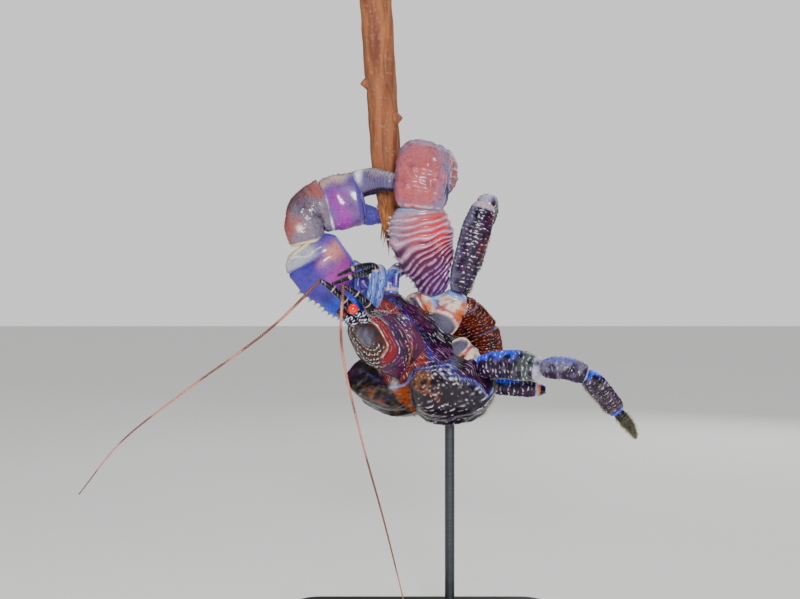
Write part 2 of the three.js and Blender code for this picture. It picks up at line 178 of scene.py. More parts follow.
def soft(value, low, high):
    """0 below low, 1 above high, and the S curve t*t*(3-2t) between."""
    t = unit((value - low) / (high - low))
    return t * t * (3 - 2 * t)


def hump(value, middle, width):
    """A bell: 1 at the middle, falling away over the width."""
    return np.exp(-(((value - middle) / width) ** 2))


def drift(points, size, seed):
    """Soft unevenness from -1 to 1: the mean of six sine waves, about size long, in seeded directions."""
    draw = np.random.default_rng(seed)
    ways = draw.normal(size=(3, 6))
    ways *= 2 * np.pi / size * draw.uniform(0.6, 1.6, 6) / np.linalg.norm(ways, axis=0)
    return np.clip(np.sin(points @ ways + draw.uniform(0, 6.28, 6)).mean(-1) * 1.8, -1, 1)


def chance(a, b=0.0, seed=0):
    """A number from 0 to 1 for each whole pair a, b: what is left of a large sine."""
    return np.mod(np.sin(a * 12.9898 + b * 78.233 + seed * 37.719) * 43758.5453, 1)


def centre_line(points, shares):
    """A smooth curve through the points, read at shares of its length, with its directions there.
    Each span is a cubic whose end slopes come from knots a square root of the chord apart."""
    p = np.array(points, float)
    p = np.concatenate([[2 * p[0] - p[1]], p, [2 * p[-1] - p[-2]]])
    knots = np.maximum(np.linalg.norm(np.diff(p, axis=0), axis=1), 1e-4)[:, None] ** 0.5
    a, b, c, d = p[:-3], p[1:-2], p[2:-1], p[3:]
    before, here, after = knots[:-2], knots[1:-1], knots[2:]
    leave = ((b - a) / before - (c - a) / (before + here) + (c - b) / here) * here
    reach = ((c - b) / here - (d - b) / (here + after) + (d - c) / after) * here
    t = np.linspace(0, 1, 60)[None, :, None]
    b, c, leave, reach = (v[:, None] for v in (b, c, leave, reach))
    fine = b * (2 * t**3 - 3 * t**2 + 1) + c * (3 * t**2 - 2 * t**3)
    fine = (fine + leave * (t**3 - 2 * t**2 + t) + reach * (t**3 - t**2)).reshape(-1, 3)
    walked = np.concatenate([[0], np.cumsum(np.linalg.norm(np.diff(fine, axis=0), axis=1))])
    at = [np.interp(shares * walked[-1], walked, fine[:, k]) for k in range(3)]
    line = np.stack(at, -1)
    ways = np.gradient(line, axis=0)
    return line, ways / np.linalg.norm(ways, axis=1, keepdims=True), walked[-1]


# A skin's grid of places, and at each of them the share of the length and of the turn, and the
# millimetres along it and round it.
Skin = namedtuple("Skin", "grid share turn along around")


def limb(path, rows, facing=(0, 1, 0), square=2.3, blunt=7, around=96, along=120):
    """Rounded sections carried along a centre line. At each share of the length the section is
    |x/width|^square + |y/depth|^square = 1, drawn in at both ends by (1-|2s-1|^blunt)^(1/blunt)."""
    share = np.linspace(0, 1, along + 1)
    share = 0.6 * share + 0.4 * (0.5 - 0.5 * np.cos(np.pi * share))
    line, ways, length = centre_line(path, share)
    across = np.cross(ways, facing)
    across /= np.linalg.norm(across, axis=1, keepdims=True)
    deep = np.cross(ways, across)
    width, depth = between(rows, share)
    end = np.maximum(0, 1 - np.abs(2 * share - 1) ** blunt) ** (1 / blunt)
    turn = np.arange(around) / around
    c, s = np.cos(2 * np.pi * turn), np.sin(2 * np.pi * turn)
    c = np.sign(c) * np.abs(c) ** (2 / square)
    s = np.sign(s) * np.abs(s) ** (2 / square)
    grid = line[:, None] - across[:, None] * (width * end)[:, None, None] * c[:, None]
    grid = grid + deep[:, None] * (depth * end)[:, None, None] * s[:, None]
    even = np.zeros(grid.shape[:2])
    share, turn = share[:, None] + even, turn + even
    return Skin(grid, share, turn, share * length, turn * np.pi * (width.mean() + depth.mean()))


def facings(grid):
    """Unit normals, from the grid's two directions, and unit directions along its rows."""
    along = np.gradient(grid, axis=0)
    around = np.roll(grid, -1, axis=1) - np.roll(grid, 1, axis=1)
    normal = np.cross(around, along)
    normal /= np.maximum(np.linalg.norm(normal, axis=-1, keepdims=True), 1e-9)
    along /= np.maximum(np.linalg.norm(along, axis=-1, keepdims=True), 1e-9)
    outward = np.sum(normal * (grid - grid.mean(axis=1, keepdims=True)))
    return normal * np.sign(outward), along


def raised(grid, height):
    """The grid moved along its normals by height."""
    return grid + facings(grid)[0] * np.asarray(height)[..., None]


def built(name, points, *kinds):
    """A smooth mesh of points in millimetres and of one array of corners for each kind of face."""
    corners = np.concatenate([kind.ravel() for kind in kinds])
    sizes = np.concatenate([np.full(len(kind), kind.shape[1]) for kind in kinds])
    mesh = bpy.data.meshes.new(name)
    mesh.vertices.add(len(points))
    mesh.vertices.foreach_set("co", (points * MM).astype(np.float32).ravel())
    mesh.loops.add(len(corners))
    mesh.loops.foreach_set("vertex_index", corners)
    mesh.polygons.add(len(sizes))
    mesh.polygons.foreach_set("loop_start", np.cumsum(sizes) - sizes)
    mesh.update(calc_edges=True)
    mesh.shade_smooth()
    return mesh


def mark(mesh, name, values):
    """One number for each point of the mesh, for a material to read by its name."""
    values = values.astype(np.float32)
    mesh.attributes.new(name, "FLOAT", "POINT").data.foreach_set("value", values)


def listed(values):
    """A grid's values as a list: the first point, every row between, the last point."""
    return np.concatenate([values[:1, 0], values[1:-1].reshape(-1, *values.shape[2:]), values[-1:, 0]])


def closed_mesh(name, grid, masks):
    """A closed mesh from a grid whose columns go round and whose first and last rows are points."""
    rows, columns = grid.shape[:2]
    points = listed(grid)
    index = 1 + np.arange((rows - 2) * columns).reshape(rows - 2, columns)
    beside = np.roll(index, -1, axis=1)
    quads = np.stack([index[:-1], beside[:-1], beside[1:], index[1:]], -1).reshape(-1, 4)
    first = np.stack([beside[0], index[0], np.zeros(columns, int)], -1)
    last = np.stack([index[-1], beside[-1], np.full(columns, len(points) - 1)], -1)
    fans = np.concatenate([first, last])
    corners = points[quads]
    swell = np.cross(corners[:, 2] - corners[:, 0], corners[:, 3] - corners[:, 1])
    if np.sum(swell * (corners.mean(1) - points.mean(0))) < 0:
        quads, fans = quads[:, ::-1], fans[:, ::-1]
    mesh = built(name, points, fans, quads)
    for key, mask in masks.items():
        mark(mesh, key, listed(np.broadcast_to(mask, grid.shape[:2])))
    return mesh


def put(name, data):
    """A new object in the scene."""
    thing = bpy.data.objects.new(name, data)
    bpy.context.scene.collection.objects.link(thing)
    return thing


def place(name, mesh, finish, stands_for=()):
    """The mesh as a piece of the model, with its finish, its body and the nodes it stands for."""
    piece = put(name, mesh)
    mesh.materials.append(finish)
    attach(piece, "root")
    if stands_for:
        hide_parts(*stands_for)


def dress(name, grid, height, masks, finish, slot, stands_for=()):
    """A closed piece: the grid raised by height, with its masks and its finish."""
    place(name, closed_mesh(name, raised(grid, height), masks), finish, stands_for)


def cover(node, *looks):
    """A closed piece that stands for one CAD node and is named after it."""
    dress(node + "_shell", *looks, [node])


BRANCH_PATH = [[-26.6, 0, 372], [-29.1, -3, 402.6], [-31.8, -6, 430], [-42.6, -20, 590.6]]
BRANCH_ROWS = [[0, 8, 7], [0.1, 12, 11], [0.22, 13.8, 13.8], [1, 14.9, 14.9]]
BRANCH_LENGTH, BRANCH_GIRTH, BARK_PLATES = 220, 92, 9
# share of the length, turn, height
TWIG_STUBS = [[0.47, 0.06, 5], [0.62, 0.48, 5], [0.76, 0.8, 4]]


def bark():
    """Brown outer bark, rubbed through in long flecks to an orange inner layer, with grey dust."""
    paint = Paint("brown_bark")
    fibre = paint.noise(150, 6, (1, 1, 0.09))
    flake = paint.noise(46, 5, (1, 1, 0.35))
    dust = paint.noise(320, 2)
    colour = paint.blend(fibre.step(0.3, 0.7), "#6a3822", "#a4643e")
    colour = paint.blend(flake.step(0.48, 0.7) * 0.7, colour, "#b8703e")
    colour = paint.blend(dust.step(0.55, 0.8) * 0.45, colour, "#b0917f")
    colour = paint.blend(paint.mask("torn"), colour, "#c07a3c")
    colour = paint.blend(paint.mask("groove") * 0.45, colour, "#4a2413")
    return paint.finish(colour, 0.72 + dust * 0.2, fibre + flake * 0.6, 0.0009)


branch = limb(BRANCH_PATH, BRANCH_ROWS, square=2, blunt=60, around=180, along=340)
plates = np.mod(branch.turn * BARK_PLATES + 0.35 * drift(branch.grid, 60, 1), 1)
groove = hump(plates, 0.5, 0.06) * soft(drift(branch.grid, 34, 2), -0.3, 0.4)
torn = soft(-branch.share, -0.2, -0.05) * soft(drift(branch.grid, 9, 3), -0.2, 0.4)
height = 0.4 * drift(branch.grid, 30, 4) + 0.15 * drift(branch.grid * [1, 1, 0.2], 5, 5) - 0.35 * groove
for share, turn, tall in TWIG_STUBS:
    aside = (np.mod(branch.turn - turn + 0.5, 1) - 0.5) * BRANCH_GIRTH
    away = np.hypot((branch.share - share) * BRANCH_LENGTH, aside)
    height = height + tall * hump(away, 0, 3.6) - 0.7 * hump(away, 6.5, 1.6)
height = height - 1.6 * torn * soft(drift(branch.grid * [1, 1, 0.1], 3, 6), -0.2, 0.6) - 0.4
height = height * soft(branch.share, 0, 0.01) * soft(-branch.share, -1, -0.99)
masks = {"torn": torn, "groove": groove}
dress("perch_bark", branch.grid, height, masks, bark(), "bark", ["perch"])


def spikes(name, roots, ways, lengths, radii, bend, patch, sides=3):
    """Many thin closed tapers as one mesh: a ring at the root, a narrower one at half length moved
    by bend, and a tip moved by three times that. The OFBake map holds each as a small patch."""
    count = len(roots)
    helper = np.where(np.abs(ways[:, 2:]) < 0.9, [[0, 0, 1.0]], [[1.0, 0, 0]])
    a = np.cross(ways, helper)
    a /= np.linalg.norm(a, axis=1, keepdims=True)
    b = np.cross(ways, a)
    angle = np.arange(sides) * 2 * np.pi / sides
    ring = a[:, None] * np.cos(angle)[:, None] + b[:, None] * np.sin(angle)[:, None]
    ring = ring * np.asarray(radii)[:, None, None]
    half = roots + ways * lengths[:, None] * 0.5 + bend
    tip = roots + ways * lengths[:, None] + bend * 3
    points = np.concatenate([roots[:, None] + ring, half[:, None] + ring * 0.62, tip[:, None]], axis=1)
    here = np.arange(sides)
    there, tip_at = (here + 1) % sides, np.full(sides, 2 * sides)
    low = np.stack([here, there, sides + here], -1)
    high = np.stack([there, sides + there, sides + here], -1)
    cap = np.stack([sides + here, sides + there, tip_at], -1)
    foot = np.stack([0 * here[2:], here[2:], here[1:-1]], -1)
    corners = np.concatenate([low, high, cap, foot])
    faces = corners[None] + (2 * sides + 1) * np.arange(count)[:, None, None]
    mesh = built(name, points.reshape(-1, 3), faces.reshape(-1, 3))
    spread = np.concatenate([np.stack([np.cos(angle), np.sin(angle)], -1)] * 2 + [np.zeros((1, 2))])
    spread = spread * np.concatenate([np.ones(sides), np.full(sides + 1, 0.6)])[:, None] * 0.0015
    spots = (np.asarray(patch)[:, None] * 0.99 + 0.005 + spread[None]).reshape(-1, 2)[faces.ravel()]
    mesh.uv_layers.new(name="OFBake").data.foreach_set("uv", spots.astype(np.float32).ravel())
    shade = np.tile(np.concatenate([np.zeros(sides), np.full(sides, 0.5), [1]]), count)
    mark(mesh, "tip", shade)
    return mesh


def splinter_wood():
    """Torn inner wood, orange at the root and paler along its fibres."""
    paint = Paint("torn_fibres")
    fibre = paint.noise(260, 4, (1, 1, 0.15))
    colour = paint.blend(paint.mask("tip"), "#7a4220", "#d79a5a")
    colour = paint.blend(fibre.step(0.45, 0.7) * 0.6, colour, "#e0b078")
    return paint.finish(colour, 0.8 + fibre * 0.15, fibre, 0.0004)


# How many, and the torn part's length as hundredths of the branch
SPLINTERS, TORN_END = 46, 14
draw = np.random.default_rng(11)
turns, drops = draw.uniform(0, 1, SPLINTERS), draw.uniform(0, 1, SPLINTERS)
line, ways, _ = centre_line(BRANCH_PATH, np.linspace(0, 1, 100))
foot = line[(TORN_END * drops).astype(int)]
side = np.stack([np.cos(turns * 6.283), np.sin(turns * 6.283), 0 * turns], -1)
roots = foot + side * (4 + 9 * drops)[:, None]
lean = -ways[0] + side * draw.uniform(0.02, 0.3, (SPLINTERS, 1)) + draw.normal(0, 0.05, (SPLINTERS, 3))
lean /= np.linalg.norm(lean, axis=1, keepdims=True)
spike_mesh = spikes(
    "perch_splinters",
    roots,
    lean,
    draw.uniform(8, 26, SPLINTERS),
    draw.uniform(0.6, 1.5, SPLINTERS),
    draw.normal(0, 0.5, (SPLINTERS, 3)),
    np.stack([turns, drops], -1),
)
place("perch_splinters", spike_mesh, splinter_wood())

# The body: a calcified shell, narrow under the head shield and swollen behind into two gill lobes
# on each side of a dark fold. Rows of small raised scales with pale rims cross the lobes, and long
# fine ridges run down its flanks. One skin, from the same rows of widths and levels as the solid.
FORWARD = np.array([-0.45, -0.42, 0.79])
FORWARD /= np.linalg.norm(FORWARD)
RIGHT = np.array([0.81, -0.57, 0.16])
RIGHT -= FORWARD * (RIGHT @ FORWARD)
RIGHT /= np.linalg.norm(RIGHT)
UP = np.cross(RIGHT, FORWARD)
SHIELD_TIP = np.array([-15.6, -40, 239.6])


def in_body(forward, right, up):
    """A place given along the animal's own three axes from the rear tip of its head shield."""
    places = np.stack(np.broadcast_arrays(forward, right, up), -1)
    return SHIELD_TIP + places @ np.array([FORWARD, RIGHT, UP])


def scales(along, around, spacing, dash, seed, arch=0.3, sharp=0.16, unrest=0.5, keep=0.7, least=0.45):
    """Short raised scales in rows: the row is along/spacing and the place in it is around/dash, both
    moved a little by waves and by chance. Each scale rises to a rim that bows forward by arch; the
    rim is a bell of width sharp and spans a share of its place from least to 0.95, and a share keep
    of the scales is there. Gives rim and height, 0 to 1."""
    here = np.stack([along, around, 0 * along], -1)
    along = along / spacing + unrest * drift(here, 2.6 * dash, seed)
    row = np.floor(along)
    lane = around / dash + chance(row, seed=seed) + unrest * drift(here + 50, 1.8 * spacing, seed + 1)
    column = np.floor(lane)
    luck, size = chance(row, column, seed), chance(row + 7, column, seed)
    x = 2 * (lane - column) - 1 + 0.3 * (size - 0.5)
    wide = unit(1 - np.abs(x / (least + (0.95 - least) * luck)) ** 2.5) ** 0.6
    rim_at = 0.45 + arch * (1 - x * x) + 0.25 * (size - 0.5)
    f = along - row
    there = wide * (0.4 + 0.6 * size) * (chance(row, column, seed + 3) < keep)
    rim = hump(f, rim_at, sharp) * there
    rise = np.where(f < rim_at, unit(f / rim_at), unit(1 - (f - rim_at) / (2 * sharp)))
    return rim, rise * there


def shell(name, ground, layers, roughness=0.28, mottle=0.35, pits=0.00008, coat=0.4, dark="#0d0712"):
    """Glossy shell: a ground colour, then the colour of each layer where its mask is, clouded by
    noise, with fine pits, and rougher where the pigment is clouded."""
    paint = Paint(name)
    cloud = paint.noise(85, 5)
    fleck = paint.noise(600, 4)
    colour = paint.blend(cloud.step(0.35, 0.7) * mottle, ground, dark)
    for mask, over in layers.items():
        share = paint.mask(mask)
        colour = paint.blend((share + (fleck - 0.5) * 0.5 * share).step(0.0, 0.95), colour, over)
    colour = paint.blend(fleck.step(0.5, 0.3) * 0.35, colour, "#5a4450", "MULTIPLY")
    rough = roughness + fleck * 0.14 + cloud * 0.06
    height = fleck + cloud * 0.4
    gloss = {"Coat_Weight": coat, "Coat_Roughness": 0.1, "Specular_IOR_Level": 0.14}
    return paint.finish(colour, rough, height, pits, **gloss)


def bristles(name, grid, weight, finish, slot, count, length, seed, radius=0.13, lean=0.9):
    """Bristles rooted by chance on a grid where weight is high, along its normals and leaning
    along its rows by lean, each a thin bent taper."""
    normal, along = (v[1:-1].reshape(-1, 3) for v in facings(grid))
    rows, columns = grid.shape[:2]
    draw = np.random.default_rng(seed)
    weight = np.broadcast_to(weight, (rows, columns))[1:-1].ravel()
    pick = draw.choice(len(weight), count, p=weight / weight.sum())
    ways = normal[pick] + along[pick] * lean + draw.normal(0, 0.22, (count, 3))
    ways /= np.linalg.norm(ways, axis=1, keepdims=True)
    roots = grid[1:-1].reshape(-1, 3)[pick] - normal[pick] * 0.3
    size = draw.uniform(0.55, 1.2, count)
    bend = draw.normal(0, 0.05, (count, 3)) * length + along[pick] * lean * length * 0.08
    patch = np.stack([pick % columns / columns, pick // columns / rows], -1)
    place(name, spikes(name, roots, ways, length * size, radius * size, bend, patch), finish)


def bristle(name, root, tip):
    """Horny bristle, one colour at its root and another at its tip, with faint rings."""
    paint = Paint(name)
    ring = paint.noise(900, 2)
    colour = paint.blend(paint.mask("tip") + (ring - 0.5) * 0.3, root, tip)
    return paint.finish(colour, 0.45 + ring * 0.2, ring, 0.00005)


# forward, half width, top, level of the widest line, underside
BODY_ROWS = [
    [72, 14, -22, -30, -40],
    [60, 20, -15, -30, -50],
    [42, 26, -9, -30, -60],
    [20, 32, -5, -32, -68],
    [0, 40, -7, -34, -72],
    [-8, 57, 0, -32, -72],
    [-24, 68, 4, -30, -70],
    [-44, 60, -2, -32, -64],
    [-62, 36, -16, -34, -52],
]
BODY_VALLEY, BODY_TURN, BODY_LEAN = 9, 0.36, -4
JOIN_SPACING = 15


def body_skin(rows=220, top=236, under=100):
    """A closed skin about the body's long axis. Forward runs as a cosine from front to rear; half
    width, top, level and underside come from BODY_ROWS; a bell-shaped valley parts the two lobes,
    which are turned a little about the body's upright."""
    upper = np.linspace(0, 0.5, top, endpoint=False)
    lower = np.linspace(0.5, 1, under, endpoint=False)
    turn = np.concatenate([upper, lower])
    along = np.linspace(0, 1, rows + 1)[:, None]
    forward = 5 + 67 * np.cos(np.pi * along) + 0 * turn
    table = [[-row[0], *row[1:]] for row in BODY_ROWS]
    half, high, level, low = between(table, -forward)
    end = np.maximum(0, 1 - np.abs(np.cos(along * np.pi)) ** 6) ** (1 / 6)
    c, s = np.cos(2 * np.pi * turn), np.sin(2 * np.pi * turn)
    c = np.sign(c) * np.abs(c) ** 0.85
    s = np.sign(s) * np.abs(s) ** 0.85
    side = -half * c * end
    rear = soft(-forward, -4, 26)
    valley = BODY_VALLEY * rear * hump(side, 0, 11) * np.maximum(s, 0)
    up = level + np.where(s > 0, high - level, level - low) * s * end - valley
    turned = BODY_TURN * rear
    grid = in_body(forward - turned * side, side + BODY_LEAN + turned * (forward + 4), up)
    return grid, forward, side, up, turn + 0 * along


body, forward, side, up, turn = body_skin()
ahead, right, above = np.moveaxis((body - SHIELD_TIP) @ np.array([FORWARD, RIGHT, UP]).T, -1, 0)
wobble = drift(body, 26, 21)
patchy = drift(body, 7, 20)
# Where the lobes' raised front rim runs, as right and forward, and the orange wedge between them, as
# forward, its middle and its half width
RIM_LINE = [
    [-68, 0], [-39, 0], [-26, -3], [-12, -5], [-4, -4], [4, 2], [10, 8],
    [20, 6], [27, 2.6], [37, -3], [44, -10], [51, -22], [54, -31], [56, -41],
]
WEDGE = [[-46, -1, 0.8], [-22, -4, 4.5], [-2, -8, 10]]
rim_at = np.interp(right, *np.array(RIM_LINE).T)
behind = rim_at - ahead
lobes = soft(behind, -1, 3) * soft(above, -52, -40)
flank = soft(-behind, -1, 3) * soft(above, -66, -58)
wedge_at = np.array(WEDGE).T
wedge_middle, wedge_half = (np.interp(forward, wedge_at[0], column) for column in wedge_at[1:])
in_wedge = soft(wedge_half - np.abs(side - wedge_middle), -1.5, 1.5)
wedge = in_wedge * soft(behind, -1, 3) * soft(above, -34, -22)
left_edge = np.interp(right, [-68, -56, -39, -26, -20], [-30, -25, -13, -7, -60])
rim_crest = hump(behind, 1.2, 1.5) * soft(above, -36, -27)
rim_crest = rim_crest * (1 - soft(-right, 16, 24) * (1 - hump(above - left_edge, 1, 1.8)))
rim_band = unit(rim_crest + hump(behind, 3, 3.5) * soft(right, -2, 6) * soft(above, -36, -27))
front_groove = hump(behind, -4, 2.6) * soft(above, -40, -24)
depth = -above - 0.22 * (ahead - 10)
lines_rim, lines_rise = scales(
    turn * 300, forward, spacing=3.2, dash=30, seed=22, arch=0.05, sharp=0.13, keep=0.95
)
rim_lines, _ = scales(
    behind + 0.8 * wobble, right,
    spacing=1.7, dash=16, seed=26, arch=0.05, sharp=0.22, unrest=0.3, keep=0.9
)
tick_rim, tick_rise = scales(
    -ahead + 0.15 * right, right,
    spacing=4.4, dash=7.2, seed=23, sharp=0.15, unrest=0.4, keep=0.9, least=0.65
)
dots_rim, dots_rise = scales(
    -ahead + 0.4 * right, right,
    spacing=3.8, dash=5.2, seed=27, arch=0.4, unrest=0.3, keep=0.85, least=0.6
)
right_lobe = soft(side, 0, 5)
gold = hump(right, 14, 15) * hump(behind, 12, 13) * right_lobe
streak = hump((ahead + 10) * 0.8 + (right - 6) * 0.62 + 3.2 * drift(body, 9, 28), 0, 2.0)
streak = streak * soft(right, 1, 5) * soft(-right, -26, -21) * right_lobe
left_streak = hump((ahead - 2) * 0.64 + (right + 56) * 0.77 + 3 * drift(body, 11, 29), 4, 3.4)
left_streak = left_streak * (1 - right_lobe) * soft(behind, 2, 5) * soft(-behind, -26, -14)
dotted = lobes * right_lobe * (hump(right, 34, 16) * hump(behind, 7, 9) + 0.4 * gold)
tick = lobes * (right_lobe * soft(0.6 * right + behind, 16, 32) + (1 - right_lobe) * 0.7)
low_hem = lobes * soft(-above, 18, 34)
hem_rim, _ = scales(
    -above * 1.1, right - ahead, spacing=2.2, dash=18, seed=30, arch=0.05, sharp=0.2, unrest=0.4, keep=0.9
)
height = 0.75 * lines_rise * flank * (1 - rim_crest) + 0.6 * tick_rise * tick + 0.7 * dots_rise * dotted
height = height + 1.5 * rim_crest - 2.2 * front_groove + 0.6 * drift(body, 12, 31) * lobes
fold = hump(side, wedge_middle + wedge_half + 1, 1.6)
height = height - 1.2 * wedge + 0.25 * hem_rim * low_hem - 1.6 * fold * lobes
underneath = soft(-up, 54, 64)
bow = 0.012 * np.abs(side) + 0.1 * wobble
joins = hump(np.mod(forward / JOIN_SPACING + bow, 1), 0.5, 0.07) + hump(side, 0, 1.4)
height = height - 1.4 * joins * underneath + 0.3 * patchy * underneath
flank_rims = lines_rim * flank * (0.45 + 0.55 * soft(drift(body, 14, 33), -0.6, 0.5))
between_lines = flank * soft(-lines_rise, -0.3, -0.05)
violet_line = flank * hump(depth, 17.5, 4) * soft(right, -8, 4)
stained = soft(patchy, -1.2, 0.6)
burnt = soft(drift(body, 5, 25) + 0.4 * patchy, -1.5, 0.3)
white = flank_rims + tick_rim * tick * (0.4 + 0.5 * right_lobe) * soft(patchy, -1.3, 0.5)
masks = {
    "rust": flank * soft(-depth, -16, -11) * 0.9,
    "magenta": flank * soft(depth, 14, 20) * soft(-depth, -46, -34) * soft(wobble, -0.9, 0.3) * 0.9,
    "violet": unit(violet_line * stained * 0.65 + 0.5 * rim_band * stained),
    "ink": unit(between_lines * soft(depth, 12, 24) * 0.7 + 0.7 * joins * underneath),
    "olive": lobes * (1 - right_lobe) * soft(patchy + 0.3 * wobble, -0.5, 0.7) * 0.75 + low_hem * 0.45,
    "gold": gold * soft(patchy + 0.5 * wobble, -0.8, 0.5) * 0.8,
    "ember": unit(wedge + streak + left_streak * 0.6) * burnt * 0.85,
    "ash": hump(np.hypot(ahead + 4, right + 16), 0, 5),
    "cream": underneath * (0.35 + 0.4 * soft(patchy, -0.8, 0.6)),
    "blue": rim_lines * rim_band * 0.9 + 0.25 * rim_crest * soft(wobble, 0, 0.8),
    "rim": unit(white + dots_rim * dotted + 0.45 * hem_rim * low_hem),
}
body_layers = {
    "rust": "#7c2218", "magenta": "#560f50", "violet": "#2c1c90", "ink": "#0a0616", "olive": "#43341a",
    "gold": "#70441a", "ember": "#8c3a10", "ash": "#a09a9e", "cream": "#b59d88", "blue": "#8fa4ee",
    "rim": "#eee4ee",
}
body_finish = shell("body_shell_finish", "#1a0f20", body_layers)
dress("body_shell", body, height, masks, body_finish, "carapace", ["thorax"])
olive_bristle = bristle("olive_bristle", "#3c3218", "#b7a878")
# Added to a weight, so that no place is quite without a chance of a bristle
FAINT = 1e-9
hem = lobes * hump(above, -34, 9)
bristles("body_hem_bristles", body, hem + FAINT, olive_bristle, "carapace", count=2600, length=4.2, seed=34)

# The head shield: a domed plate over the stomach, broad in front and drawn to a point behind, with a
# smooth grey swelling at the front left, a raised purple field beside it, two pale ridges, and rows
# of bowed scales with white rims behind the swelling.
SHIELD_SIZE = {"length": 71, "tip": 4, "middle": 37, "front": 31, "thick": 4, "side": -6}


def shield_skin(columns=300, top_rows=166, under_rows=24):
    """A closed plate: its rim is widths by length, and every ring between its middle and its rim is
    the rim drawn in by sin^0.6. Height is a shallow arch across that sinks towards the front."""
    size = SHIELD_SIZE
    upper = np.linspace(0, 0.5, top_rows, endpoint=False)
    rows = np.concatenate([upper, np.linspace(0.5, 1, under_rows)])[:, None]
    angle = np.arange(columns) / columns * 2 * np.pi
    reach = np.sin(rows * np.pi).clip(0) ** 0.6
    c = np.cos(angle)
    forward = size["length"] * (0.5 - 0.5 * np.sign(c) * np.abs(c) ** 0.7 * reach)
    widths = [[0, size["tip"]], [0.4, size["middle"]], [0.75, size["middle"]], [1, size["front"]]]
    share = unit(forward / size["length"])
    side = np.sin(angle) * between(widths, share)[0] * reach
    middle = 8.4 * (1 - (side / size["middle"]) ** 2) - 9 * share**2 - 10.4
    face = np.where(rows < 0.5, 1, -1)
    up = middle + face * (size["thick"] / 2) * (1 - reach**4)
    return in_body(forward, side + size["side"], up), forward, side + size["side"], face * (1 - reach**8)


plate, forward, side, face = shield_skin()
wobble = drift(plate, 18, 31)
# The swelling over the stomach, the middle of all the shield's bowed rows
SWELLING = {"forward": 50, "right": -17, "radius": 8.5}
away = np.hypot(forward - SWELLING["forward"], side - SWELLING["right"])
about = np.arctan2(side - SWELLING["right"], SWELLING["forward"] - forward)
on_top = soft(face, 0, 0.3)
swelling = soft(SWELLING["radius"] - away, -6, 5)
bowed = soft(np.cos(about + 0.7), -0.35, 0.35)
ridge_out = away - 20 - 0.13 * (45 - forward) - 1.5 * wobble
main_ridge = hump(ridge_out, 0, 0.6) * soft(about, 0.05, 0.5)
second_ridge = hump(ridge_out, 9.5, 0.4) * soft(about, 0.2, 0.7) * soft(drift(plate, 12, 39), -0.5, 0.5)
wine_side = soft(ridge_out, -2, 2) * soft(about + 0.012 * (away - 20), 0.0, 0.45)
scaly = (1 - wine_side) * (1 - swelling) * on_top
rear_tip = soft(-forward, -15, -4)
ridge_white = 0.3 + 0.4 * soft(drift(plate, 8, 41), -0.3, 0.5)
right_edge = side - np.interp(forward, [0, 13, 28, 45, 70], [2, 9, 20, 26, 25])
purple_front = soft(forward, 44, 52) * soft(side, 4, 12)
rim, rise = scales(
    away + 0.5 * wobble, about * 20,
    spacing=4.8, dash=6.0, seed=32, arch=0.62, unrest=0.28, keep=0.88, least=0.8
)
fine_rim, fine_rise = scales(
    ridge_out, about * 30, spacing=3.2, dash=22, seed=33, arch=0.05, sharp=0.1, keep=0.6
)
edge_rim, edge_rise = scales(
    right_edge + 0.3 * forward, forward,
    spacing=3.4, dash=4.2, seed=35, arch=0.4, sharp=0.12, unrest=0.35, keep=0.8
)
near_edge = hump(right_edge, -3, 4) * on_top
height = 1.2 * rise * scaly * bowed + 0.45 * fine_rise * wine_side + 2.4 * swelling + 1.1 * main_ridge
height = height + 0.8 * second_ridge + 1.2 * purple_front + 0.6 * edge_rise * near_edge
height = (height - 0.8) * soft(face, 0, 0.35)
mottled = soft(drift(plate, 9, 36), -0.1, 0.7)
purple_stain = purple_front * 0.3 * soft(wobble, -0.6, 0.8)
ridge_foot = 0.7 * hump(ridge_out, -0.8, 1.1) * soft(about, 0.05, 0.5)
white = 1.6 * rim * scaly * bowed + 0.5 * fine_rim * wine_side + ridge_white * main_ridge
masks = {
    "rust": scaly * soft(wobble, -1.2, 0.2) * 0.9,
    "brown": unit(scaly * (mottled * 0.6 + 0.4 * (1 - rise)) + 0.5 * rear_tip),
    "ash": swelling * (0.55 + 0.45 * soft(drift(plate, 7, 40), -0.6, 0.4)),
    "magenta": wine_side * soft(drift(plate, 14, 37), -0.6, 0.3) * 0.9,
    "crimson": wine_side * hump(ridge_out, 4, 3.6),
    "purple": unit(purple_stain + 0.2 * hump(ridge_out, 11, 4) * wine_side),
    "ember": unit(0.4 * hump(right_edge, 0, 1.2) * soft(-forward, -50, -30) + ridge_foot) * on_top,
    "rim": unit(white + 0.5 * second_ridge * (1 - rear_tip) + 0.8 * edge_rim * near_edge),
}
plate_layers = {
    "rust": "#4c1a12", "brown": "#1e100e", "ash": "#5c5a6c", "magenta": "#4a0638", "crimson": "#80081a",
    "purple": "#43248c", "ember": "#c46c38", "rim": "#fbf2ee",
}
cover("head_shield", plate, height, masks, shell("head_shield_finish", "#2c0620", plate_layers), "carapace")
white_bristle = bristle("white_bristle", "#8f86a0", "#fbf7f4")
front_edge = hump(forward, 68, 5) * soft(side, -34, -20) * soft(-side, -26, -14) + FAINT
hairs = {"count": 420, "length": 3.6, "seed": 38, "radius": 0.16, "lean": 0.6}
bristles("head_front_hairs", plate, front_edge, white_bristle, "carapace", **hairs)

